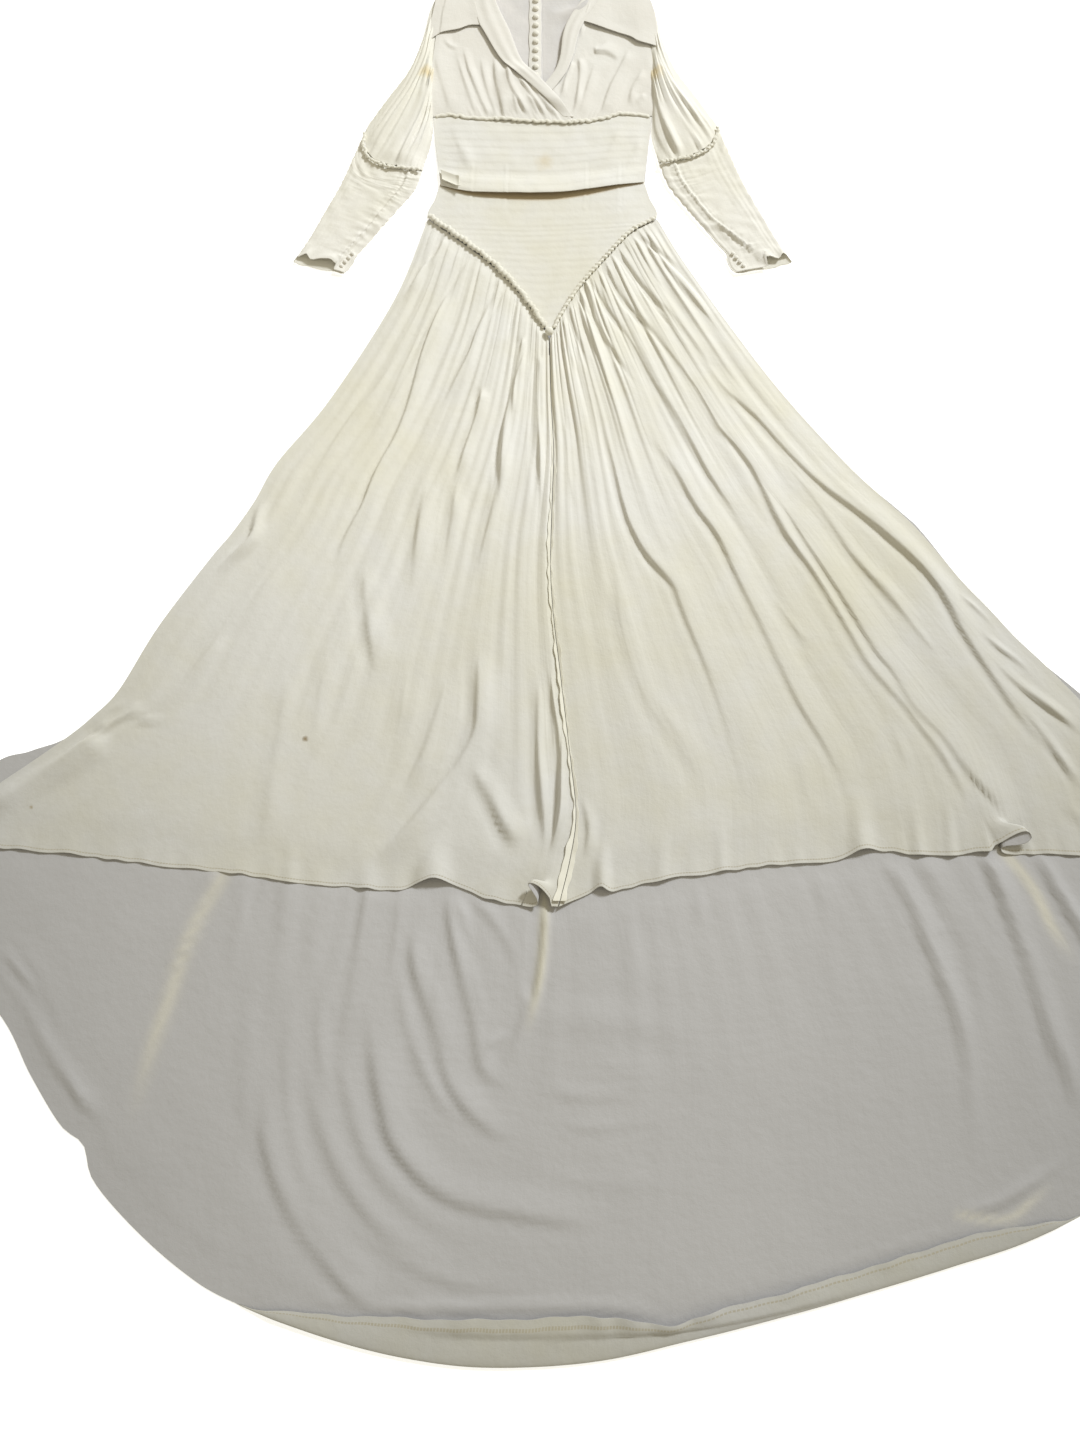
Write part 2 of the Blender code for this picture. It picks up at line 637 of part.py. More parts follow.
def sleeve_ring(width, height, gap, ridge, top_count):
    """A flat oval section that starts and ends at the slit on its top: [(across, up)], across from -1 to 1.

    The bottom lies on the floor, gap is the slit's half width, and ridge raises every other point of the top.
    """
    round_share = height / width
    ring = []

    def top_run(start, end, count):
        for k in range(count + 1):
            across = start + (end - start) * k / count
            raised = ridge * (k % 2) * (1 if 0 < k < count else 0)
            ring.append((across, height + raised * (1 - across**2)))

    side_angles = [math.radians(a) for a in (45, 90, 135)]
    top_run(SLIT_AT - gap, -1 + round_share, 2)
    for angle in side_angles:
        ring.append((-1 + round_share - round_share * math.sin(angle), height / 2 * (1 + math.cos(angle))))
    for across in (-1 + round_share, -0.4, 0.4, 1 - round_share):
        ring.append((across, 0.0))
    for angle in reversed(side_angles):
        ring.append((1 - round_share + round_share * math.sin(angle), height / 2 * (1 + math.cos(angle))))
    top_run(1 - round_share, SLIT_AT + gap, top_count)
    return ring


def sleeve(name, side, sections, slits, top_count, finish):
    """A flat tube of cloth through the sections; the slits part it at the cuff."""
    stations = []
    for (ox, oy, ix, iy, height, gathered), slit in zip(sections, slits):
        outer, inner = Vector(body(side, ox, oy)), Vector(body(side, ix, iy))
        middle, across = (outer + inner) / 2, (outer - inner) / 2
        ring = sleeve_ring(across.length, height, slit, gathered, top_count)
        stations.append([lift(middle + across * a, z) for a, z in ring])
    rows, columns = len(stations) - 1, len(stations[0]) - 1

    def outside(u, v):
        return stations[round(v * rows)][round(u * columns)]

    def outward(point):
        centre = sum(stations[rows // 2], Vector()) / (columns + 1)
        return Vector((point.x - centre.x, point.y - centre.y, 4 * (point.z - centre.z)))

    return cloth(name, columns, rows, outside, -WALL, finish, outward=outward)


def make_sleeve(side, label):
    sleeve(f"sleeve_upper_{label}", side, UPPER_SLEEVE, [0.0] * len(UPPER_SLEEVE), 13, OUTSIDE_FINISH)
    sleeve(f"sleeve_lower_{label}", side, LOWER_SLEEVE, CUFF_SLIT, 12, OUTSIDE_FINISH)
    ox, oy, ix, iy, height, gathered = LOWER_SLEEVE[0]
    outer, inner = Vector(body(side, ox, oy)), Vector(body(side, ix, iy))
    count = 19
    route = []
    for k in range(count):
        spot = outer.lerp(inner, 0.06 + 0.88 * k / (count - 1))
        wave = 0.0012 * (k % 2)
        route.append(lift(spot + Vector((0, -0.0035)), height + gathered + SEAM + FRILL_RADIUS + wave))
    cord(f"elbow_frill_{label}", route, [FRILL_RADIUS] * count, 4, BAND_FINISH)
    for k in range(4):
        share = 0.2 + 0.6 * k / 3
        low, high = LOWER_SLEEVE[-2], LOWER_SLEEVE[-1]
        section = [a + (b - a) * share for a, b in zip(low, high)]
        outer, inner = Vector(body(side, *section[:2])), Vector(body(side, *section[2:4]))
        spot = inner.lerp(outer, 0.085)
        place = lift(spot, section[4] + SEAM)
        knob(f"cuff_button_{label}_{k + 1}", place, CUFF_BUTTON_RADIUS, 0.7, BAND_FINISH)


def make_underbust_frill():
    """The gathered edge that stands along the seam under the bust."""
    count = 31
    route = []
    for k in range(count):
        share = 0.03 + 0.94 * k / (count - 1)
        x = BODY_X + (2 * share - 1) * HALF_UNDERBUST
        crossing = (CROSSOVER + 0.0030) * smooth((x + 0.085) / 0.03) * (1 - smooth((x - 0.058) / 0.03))
        height = LIE + side_rise(share, EASE + 0.0020) + crossing + WALL + RIB_HEIGHT
        wave = 0.0014 * (k % 2)
        route.append(Vector((x, UNDERBUST_Y - 0.0005 + wave, height + FRILL_RADIUS - 0.0004)))
    cord("underbust_frill", route, [FRILL_RADIUS] * count, 4, BAND_FINISH)


for old in list(bpy.data.objects):
    bpy.data.objects.remove(old)
GOWN = bpy.data.collections.new("evening_gown")
bpy.context.scene.collection.children.link(GOWN)
OUTSIDE_FINISH = material("ivory_crepe", IVORY, 0.75)
BAND_FINISH = material("cream_trim", CREAM, 0.7)
INSIDE_FINISH = material("crepe_inside", INSIDE, 0.85)

for side, label in ((-1, "left"), (1, "right")):
    make_back(side, label)
    make_skirt_front(side, label)
    make_bodice(side, label)
    make_piping(side, label)
    make_sleeve(side, label)
make_skirt_back()
make_back_collar()
make_back_closing()
make_midriff()
make_underbust_frill()
make_basque()
make_knot()
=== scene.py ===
"""Looks of an ivory crepe evening gown with a train, laid out flat on its back.

Each panel of cloth is a fine grid laid on the shape that the gown's cut and its folds give it, and then
thickened. +Z is up, +Y runs from the hem to the neck and +X is the viewer's right. Lengths are in metres.
A panel's place is written as u across it and v down it, both from 0 to 1.
"""

import math

import bmesh
import bpy
import numpy as np
from bpy.props import FloatProperty, FloatVectorProperty, PointerProperty
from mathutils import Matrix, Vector


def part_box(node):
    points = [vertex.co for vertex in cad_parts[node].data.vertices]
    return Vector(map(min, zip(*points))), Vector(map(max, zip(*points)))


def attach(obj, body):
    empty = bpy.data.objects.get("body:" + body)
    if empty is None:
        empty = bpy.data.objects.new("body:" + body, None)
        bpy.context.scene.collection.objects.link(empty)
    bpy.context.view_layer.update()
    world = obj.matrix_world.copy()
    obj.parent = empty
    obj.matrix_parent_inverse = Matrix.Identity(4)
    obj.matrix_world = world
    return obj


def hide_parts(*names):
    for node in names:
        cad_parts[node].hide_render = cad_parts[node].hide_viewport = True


bl_info = {
    "name": "Evening Gown Laid Flat",
    "version": (1, 0, 0),
    "blender": (4, 5, 0),
    "location": "3D View > Sidebar > Gown",
    "description": "Builds an ivory crepe evening gown with a train around its CAD solids",
    "category": "Object",
}

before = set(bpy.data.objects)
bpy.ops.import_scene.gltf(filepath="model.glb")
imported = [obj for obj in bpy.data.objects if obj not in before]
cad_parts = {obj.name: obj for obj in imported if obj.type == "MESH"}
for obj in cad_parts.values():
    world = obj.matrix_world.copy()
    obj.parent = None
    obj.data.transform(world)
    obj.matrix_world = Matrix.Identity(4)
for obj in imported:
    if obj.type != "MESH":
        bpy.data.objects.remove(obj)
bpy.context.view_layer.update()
ROUND = 6.2832  # One turn, in radians

# The body: its middle, its half widths as the gown lies flat, and places up it
BODY_X = 0.004
HALF_SHOULDER = 0.167
HALF_UNDERARM = 0.184
HALF_UNDERBUST = 0.176
HALF_WAIST = 0.160
HALF_HIP = 0.179
HALF_NECK = 0.088
NECK_Y = 1.035
NAPE_Y = 1.012
SHOULDER_Y = 0.985
UNDERARM_Y = 0.765
UNDERBUST_Y = 0.722
WAIST_Y = 0.588
HIP_Y = 0.532

# Upper face of the back and of the front at their edges, and how much more the front rises further in
BACK_TOP = 0.0014
FRONT_TOP = 0.0030
EASE = 0.0022

# Length of the front skirt from its seam to its hem
FRONT_LENGTH = 0.99
# The pointed seam, the centre front and the outlines of the skirt as it lies: x, y
TIP = (0.014, 0.318)
HEM_FRONT = (0.024, -0.532)
POINTED_SEAM = {
    -1: [(-0.175, 0.532), (-0.132, 0.496), (-0.085, 0.456), (-0.046, 0.414), (-0.015, 0.370), (0.006, 0.333), TIP],
    1: [(0.183, 0.532), (0.140, 0.503), (0.100, 0.456), (0.061, 0.406), (0.035, 0.362), (0.021, 0.331), TIP],
}
SKIRT_SIDE = {
    -1: [(-0.175, 0.532), (-0.222, 0.388), (-0.312, 0.216), (-0.384, 0.112), (-0.413, 0.050), (-0.442, 0.000),
         (-0.471, -0.041), (-0.535, -0.143), (-0.580, -0.234), (-0.612, -0.272), (-0.642, -0.300), (-0.700, -0.345),
         (-0.760, -0.390), (-0.815, -0.440)],
    1: [(0.183, 0.532), (0.231, 0.438), (0.344, 0.250), (0.441, 0.118), (0.494, 0.058), (0.540, 0.008),
        (0.598, -0.074), (0.632, -0.116), (0.664, -0.158), (0.700, -0.198), (0.743, -0.250), (0.792, -0.312),
        (0.838, -0.462)],
}
FRONT_HEM = {
    -1: [(-0.815, -0.440), (-0.717, -0.453), (-0.609, -0.463), (-0.502, -0.477), (-0.396, -0.488), (-0.316, -0.500),
         (-0.237, -0.506), (-0.188, -0.509), (-0.160, -0.500), (-0.138, -0.494), (-0.111, -0.503), (-0.072, -0.519),
         (-0.032, -0.528), HEM_FRONT],
    1: [(0.838, -0.462), (0.715, -0.463), (0.649, -0.461), (0.600, -0.458), (0.523, -0.464), (0.451, -0.457),
        (0.426, -0.455), (0.392, -0.470), (0.291, -0.478), (0.211, -0.489), (0.158, -0.496), (0.100, -0.510),
        (0.079, -0.505), (0.064, -0.513), HEM_FRONT],
}
# Small pleats in the hem: the shares of its length that each takes, then the way its edge runs through it
HEM_PLEATS = {
    -1: (0.946, 0.990, [(-0.028, -0.528, 0.004), (-0.012, -0.530, 0.006), (-0.004, -0.527, 0.009),
                        (-0.005, -0.519, 0.013), (-0.012, -0.509, 0.017), (-0.016, -0.503, 0.019),
                        (-0.012, -0.501, 0.020), (-0.003, -0.505, 0.019), (0.006, -0.513, 0.016),
                        (0.014, -0.523, 0.011)]),
    1: (0.228, 0.292, [(0.644, -0.460, 0.002), (0.628, -0.462, 0.003), (0.614, -0.461, 0.005), (0.610, -0.456, 0.006),
                       (0.615, -0.452, 0.008), (0.631, -0.450, 0.010), (0.643, -0.446, 0.012), (0.649, -0.440, 0.014),
                       (0.645, -0.434, 0.016), (0.637, -0.434, 0.016), (0.623, -0.440, 0.014), (0.610, -0.447, 0.010),
                       (0.598, -0.452, 0.005)]),
}
# Share of a front half's width that each share of its columns takes, so that its pleat gets more of them
COLUMN_SHARES = {
    -1: ([0.0, 0.84, 0.87, 0.985, 1.0], [0.0, 0.915, 0.944, 0.992, 1.0]),
    1: ([0.0, 0.19, 0.21, 0.345, 0.365, 1.0], [0.0, 0.206, 0.227, 0.293, 0.314, 1.0]),
}
CENTRE_FRONT = [TIP, (0.016, 0.221), (0.020, 0.130), (0.018, 0.060), (0.015, -0.040), (0.018, -0.117), (0.030, -0.230),
                (0.042, -0.340), (0.048, -0.410), (0.040, -0.467), HEM_FRONT]
BACK_SIDE = {
    -1: [(-0.172, 0.528), (-0.218, 0.386), (-0.308, 0.214), (-0.409, 0.048), (-0.467, -0.042), (-0.530, -0.142),
         (-0.576, -0.236), (-0.620, -0.284), (-0.654, -0.307), (-0.693, -0.321), (-0.750, -0.347), (-0.858, -0.480)],
    1: [(0.180, 0.528), (0.228, 0.436), (0.341, 0.250), (0.437, 0.118), (0.492, 0.062), (0.540, 0.014),
        (0.596, -0.070), (0.660, -0.157), (0.745, -0.240), (0.800, -0.300), (0.858, -0.500)],
}
TRAIN_EDGE = [
    (-0.858, -0.480), (-0.790, -0.570), (-0.689, -0.667), (-0.642, -0.739), (-0.597, -0.799), (-0.566, -0.822),
    (-0.550, -0.862), (-0.499, -0.913), (-0.434, -0.963), (-0.371, -0.997), (-0.249, -1.036), (-0.142, -1.058),
    (-0.047, -1.065), (0.071, -1.058), (0.190, -1.035), (0.311, -1.007), (0.396, -0.985), (0.495, -0.958),
    (0.607, -0.924), (0.740, -0.860), (0.810, -0.770), (0.855, -0.640), (0.858, -0.500),
]

# Folds of the front skirt, each along the foot of its steep side, from the seam down: points, then height,
# width of the steep side, width of the gentle side, and the shares of its length over which it starts and ends
SKIRT_FOLDS = {
    -1: [
        ([(-0.127, 0.421), (-0.148, 0.383), (-0.178, 0.291), (-0.196, 0.208), (-0.215, 0.149), (-0.239, 0.098),
          (-0.258, 0.040), (-0.275, 0.005), (-0.287, -0.031), (-0.290, -0.100)], 0.0068, 0.0034, 0.034, 0.18, 0.45),
        ([(-0.067, 0.396), (-0.093, 0.340), (-0.108, 0.291), (-0.139, 0.219), (-0.158, 0.165)],
         0.0055, 0.0045, 0.030, 0.2, 0.4),
        ([(-0.086, 0.240), (-0.096, 0.184), (-0.113, 0.126), (-0.128, 0.065)], 0.0059, 0.0032, 0.022, 0.15, 0.4),
        ([(-0.018, 0.312), (-0.039, 0.243), (-0.054, 0.172), (-0.059, 0.103), (-0.061, 0.020)],
         0.0064, 0.0034, 0.024, 0.2, 0.3),
        ([(-0.044, 0.219), (-0.068, 0.052), (-0.085, -0.031), (-0.102, -0.130)], 0.0039, 0.0072, 0.030, 0.3, 0.5),
        ([(-0.150, 0.500), (-0.158, 0.472), (-0.182, 0.440), (-0.202, 0.402), (-0.236, 0.355)],
         0.0050, 0.0036, 0.018, 0.1, 0.5),
        ([(-0.184, 0.346), (-0.240, 0.243), (-0.279, 0.190), (-0.313, 0.126), (-0.358, 0.036)],
         0.0032, 0.0072, 0.035, 0.4, 0.5),
        ([(-0.138, 0.440), (-0.199, 0.285), (-0.237, 0.184), (-0.285, 0.095)], 0.0035, 0.0063, 0.030, 0.3, 0.5),
        ([(-0.002, 0.297), (-0.004, 0.196), (-0.002, 0.103), (0.001, 0.010)], 0.0055, 0.0040, 0.010, 0.1, 0.4),
        ([(-0.026, 0.322), (-0.034, 0.273), (-0.041, 0.219), (-0.044, 0.155)], 0.0055, 0.0032, 0.010, 0.1, 0.4),
        ([(-0.121, 0.103), (-0.129, 0.024), (-0.140, -0.060)], 0.0035, 0.0072, 0.025, 0.4, 0.4),
        ([(-0.156, 0.140), (-0.172, 0.058), (-0.182, -0.055), (-0.190, -0.160)], 0.0039, 0.0090, 0.035, 0.4, 0.5),
        ([(-0.404, 0.062), (-0.411, 0.030), (-0.415, -0.006), (-0.441, -0.036), (-0.480, -0.084)],
         0.0057, 0.0040, 0.022, 0.2, 0.5),
        ([(-0.254, -0.040), (-0.248, -0.110), (-0.238, -0.170), (-0.224, -0.240)], 0.0044, 0.0072, 0.045, 0.3, 0.5),
        ([(-0.088, -0.150), (-0.089, -0.248), (-0.091, -0.291), (-0.108, -0.330), (-0.147, -0.384),
          (-0.186, -0.433), (-0.230, -0.480)], 0.0059, 0.0072, 0.045, 0.3, 0.3),
        ([(-0.101, -0.338), (-0.070, -0.388), (-0.049, -0.429), (-0.022, -0.470)], 0.0055, 0.0072, 0.035, 0.25, 0.3),
        ([(-0.130, -0.200), (-0.138, -0.248), (-0.150, -0.287), (-0.165, -0.334), (-0.195, -0.390)],
         0.0032, 0.0090, 0.035, 0.4, 0.4),
        ([(-0.185, -0.180), (-0.192, -0.250), (-0.206, -0.370)], 0.0026, 0.0108, 0.045, 0.5, 0.5),
        ([(-0.344, -0.005), (-0.405, -0.101), (-0.472, -0.200)], 0.0024, 0.0126, 0.050, 0.4, 0.5),
        ([(-0.431, -0.131), (-0.489, -0.215), (-0.545, -0.272)], 0.0026, 0.0090, 0.030, 0.4, 0.4),
        ([(-0.365, -0.180), (-0.357, -0.267), (-0.368, -0.379), (-0.371, -0.480)], 0.0021, 0.0108, 0.040, 0.4, 0.3),
        ([(-0.298, -0.150), (-0.307, -0.248), (-0.316, -0.350)], 0.0021, 0.0108, 0.030, 0.4, 0.4),
        ([(-0.590, -0.290), (-0.626, -0.310), (-0.651, -0.328), (-0.702, -0.356), (-0.775, -0.402)],
         0.0068, 0.0117, 0.045, 0.12, 0.3),
        ([(-0.617, -0.268), (-0.604, -0.284), (-0.588, -0.300)], 0.0055, 0.0036, 0.010, 0.3, 0.3),
        ([(-0.592, -0.290), (-0.575, -0.280), (-0.557, -0.273), (-0.538, -0.281), (-0.505, -0.285)],
         0.0044, 0.0032, 0.010, 0.2, 0.5),
        ([(-0.601, -0.272), (-0.572, -0.260), (-0.540, -0.272)], 0.0039, 0.0032, 0.009, 0.2, 0.4),
        ([(-0.604, -0.302), (-0.586, -0.290), (-0.568, -0.288)], 0.0039, 0.0032, 0.008, 0.2, 0.4),
        ([(-0.006, -0.200), (-0.005, -0.313), (-0.002, -0.376), (0.004, -0.437), (0.006, -0.480)],
         0.0056, 0.0063, 0.014, 0.3, 0.3),
        ([(0.010, -0.190), (0.018, -0.260), (0.024, -0.313), (0.026, -0.376)], 0.0044, 0.0045, 0.008, 0.3, 0.3),
        ([(0.028, -0.150), (0.032, -0.248), (0.029, -0.291), (0.027, -0.334), (0.025, -0.396), (0.018, -0.433),
          (0.008, -0.470)], 0.0068, 0.0036, 0.013, 0.3, 0.2),
    ],
    1: [
        ([(0.150, 0.500), (0.195, 0.443), (0.218, 0.409), (0.246, 0.368), (0.284, 0.312)],
         0.0039, 0.0036, 0.018, 0.1, 0.4),
        ([(0.120, 0.480), (0.147, 0.419), (0.170, 0.388), (0.199, 0.361), (0.237, 0.301), (0.274, 0.242)],
         0.0044, 0.0032, 0.022, 0.1, 0.35),
        ([(0.098, 0.460), (0.118, 0.409), (0.137, 0.368), (0.174, 0.321), (0.202, 0.281), (0.240, 0.217),
          (0.258, 0.172), (0.303, 0.109), (0.345, 0.007), (0.385, -0.059), (0.408, -0.105), (0.434, -0.160),
          (0.456, -0.205), (0.498, -0.258), (0.520, -0.293), (0.549, -0.340), (0.569, -0.391), (0.574, -0.430)],
         0.0052, 0.0034, 0.040, 0.04, 0.1),
        ([(0.325, 0.085), (0.347, 0.044), (0.383, -0.026), (0.414, -0.082), (0.440, -0.133), (0.466, -0.183),
          (0.486, -0.210), (0.500, -0.241), (0.518, -0.271), (0.545, -0.302), (0.573, -0.349), (0.603, -0.387),
          (0.632, -0.420)], 0.0057, 0.0031, 0.050, 0.15, 0.12),
        ([(0.089, 0.435), (0.097, 0.388), (0.111, 0.354), (0.139, 0.308), (0.166, 0.249), (0.199, 0.191),
          (0.225, 0.134), (0.248, 0.085), (0.284, 0.018), (0.306, -0.060)], 0.0043, 0.0032, 0.026, 0.1, 0.35),
        ([(0.066, 0.425), (0.074, 0.395), (0.087, 0.341), (0.110, 0.295), (0.128, 0.256)],
         0.0048, 0.0025, 0.012, 0.1, 0.25),
        ([(0.056, 0.400), (0.062, 0.360), (0.075, 0.321), (0.095, 0.268), (0.112, 0.185)],
         0.0044, 0.0027, 0.014, 0.1, 0.4),
        ([(0.078, 0.240), (0.085, 0.204), (0.096, 0.153), (0.107, 0.103), (0.119, 0.042), (0.135, -0.006),
          (0.159, -0.048), (0.185, -0.077), (0.200, -0.123), (0.224, -0.190), (0.240, -0.240), (0.257, -0.300),
          (0.274, -0.370), (0.291, -0.440)], 0.0049, 0.0031, 0.038, 0.2, 0.4),
        ([(0.045, 0.375), (0.050, 0.340), (0.055, 0.314), (0.061, 0.262)], 0.0044, 0.0023, 0.009, 0.1, 0.3),
        ([(0.033, 0.352), (0.040, 0.318), (0.046, 0.290), (0.053, 0.248)], 0.0043, 0.0023, 0.008, 0.1, 0.3),
        ([(0.024, 0.335), (0.030, 0.305), (0.036, 0.262)], 0.0039, 0.0022, 0.006, 0.1, 0.3),
        ([(0.142, 0.190), (0.169, 0.140), (0.196, 0.097), (0.222, 0.042), (0.253, -0.006), (0.280, -0.075),
          (0.305, -0.135), (0.333, -0.205), (0.355, -0.258), (0.381, -0.306), (0.403, -0.357), (0.422, -0.425)],
         0.0046, 0.0040, 0.042, 0.2, 0.3),
        ([(0.244, 0.275), (0.275, 0.229), (0.318, 0.185), (0.360, 0.128), (0.402, 0.078), (0.444, 0.042),
          (0.482, 0.008), (0.512, -0.022), (0.540, -0.052), (0.565, -0.091), (0.582, -0.137), (0.600, -0.174),
          (0.628, -0.227), (0.660, -0.284), (0.689, -0.319), (0.720, -0.368)], 0.0053, 0.0038, 0.036, 0.1, 0.18),
        ([(0.330, 0.140), (0.359, 0.103), (0.400, 0.042), (0.439, -0.030), (0.473, -0.077), (0.507, -0.123),
          (0.552, -0.190)], 0.0042, 0.0043, 0.026, 0.3, 0.3),
        ([(0.440, -0.045), (0.483, -0.082), (0.502, -0.115), (0.529, -0.156), (0.560, -0.200)],
         0.0032, 0.0040, 0.018, 0.3, 0.3),
        ([(0.034, 0.200), (0.039, 0.103), (0.051, 0.020)], 0.0026, 0.0048, 0.012, 0.3, 0.4),
        ([(0.063, 0.250), (0.073, 0.153), (0.084, 0.066), (0.093, -0.030)], 0.0032, 0.0048, 0.018, 0.3, 0.4),
        ([(0.114, -0.020), (0.106, -0.100), (0.121, -0.189), (0.148, -0.258), (0.179, -0.307), (0.206, -0.355),
          (0.232, -0.435)], 0.0042, 0.0065, 0.045, 0.25, 0.4),
        ([(0.590, -0.096), (0.614, -0.119), (0.640, -0.146)], 0.0042, 0.0029, 0.010, 0.3, 0.4),
        ([(0.608, -0.144), (0.634, -0.174), (0.658, -0.192), (0.684, -0.218)], 0.0030, 0.0032, 0.012, 0.3, 0.4),
        ([(0.624, -0.192), (0.654, -0.227), (0.696, -0.263), (0.745, -0.304)], 0.0046, 0.0032, 0.018, 0.2, 0.3),
        ([(0.650, -0.250), (0.683, -0.302), (0.710, -0.349), (0.732, -0.378)], 0.0046, 0.0032, 0.018, 0.3, 0.3),
        ([(0.325, -0.100), (0.361, -0.156), (0.384, -0.184)], 0.0024, 0.0048, 0.020, 0.3, 0.4),
        ([(0.460, -0.250), (0.485, -0.315), (0.496, -0.375)], 0.0020, 0.0064, 0.025, 0.4, 0.4),
        ([(0.050, -0.380), (0.062, -0.420), (0.060, -0.450), (0.050, -0.475)], 0.0042, 0.0036, 0.018, 0.3, 0.3),
        ([(0.155, -0.220), (0.169, -0.274), (0.193, -0.313), (0.218, -0.375)], 0.0028, 0.0056, 0.030, 0.3, 0.4),
        ([(0.340, -0.300), (0.352, -0.370), (0.372, -0.440)], 0.0020, 0.0080, 0.040, 0.4, 0.3),
        ([(0.690, -0.390), (0.720, -0.420), (0.742, -0.450)], 0.0026, 0.0048, 0.020, 0.3, 0.2),
    ],
}
# Height of these folds by side, as a share of the table's, and so for the bust and the sleeves below
SKIRT_FOLD_SCALE = {-1: 1.5, 1: 1.0}
# Troughs between the gathers below the pointed seam: points, depth, half width
SEAM_TROUGHS = {
    -1: [
        ([(-0.112, 0.458), (-0.138, 0.404), (-0.167, 0.340)], 0.0020, 0.0040),
        ([(-0.068, 0.408), (-0.099, 0.334), (-0.123, 0.280)], 0.0022, 0.0040),
        ([(-0.052, 0.412), (-0.082, 0.330)], 0.0020, 0.0035),
        ([(-0.036, 0.380), (-0.050, 0.310)], 0.0022, 0.0035),
        ([(-0.150, 0.500), (-0.176, 0.440), (-0.200, 0.400)], 0.0020, 0.0040),
    ],
    1: [
        ([(0.148, 0.500), (0.180, 0.472), (0.220, 0.430), (0.262, 0.368)], 0.0040, 0.0040),
        ([(0.116, 0.470), (0.137, 0.436), (0.178, 0.372), (0.216, 0.312)], 0.0040, 0.0040),
        ([(0.094, 0.446), (0.128, 0.376), (0.170, 0.326), (0.205, 0.270)], 0.0040, 0.0040),
        ([(0.056, 0.396), (0.079, 0.346), (0.112, 0.285), (0.150, 0.225)], 0.0036, 0.0040),
        ([(0.074, 0.420), (0.104, 0.360), (0.140, 0.308)], 0.0034, 0.0035),
        ([(0.040, 0.366), (0.058, 0.310), (0.076, 0.250)], 0.0034, 0.0035),
        ([(0.026, 0.338), (0.034, 0.290), (0.040, 0.240)], 0.0030, 0.0030),
    ],
}
# Waves that lift the front hem: x, height and half length
HEM_WAVES = [(-0.142, 0.009, 0.030), (-0.230, 0.002, 0.020), (-0.330, 0.0015, 0.015), (0.018, 0.006, 0.030),
             (0.082, 0.007, 0.016), (0.160, 0.003, 0.016), (0.240, 0.002, 0.012), (0.426, 0.006, 0.024),
             (0.500, 0.003, 0.014), (0.545, 0.003, 0.012), (0.610, 0.006, 0.040)]

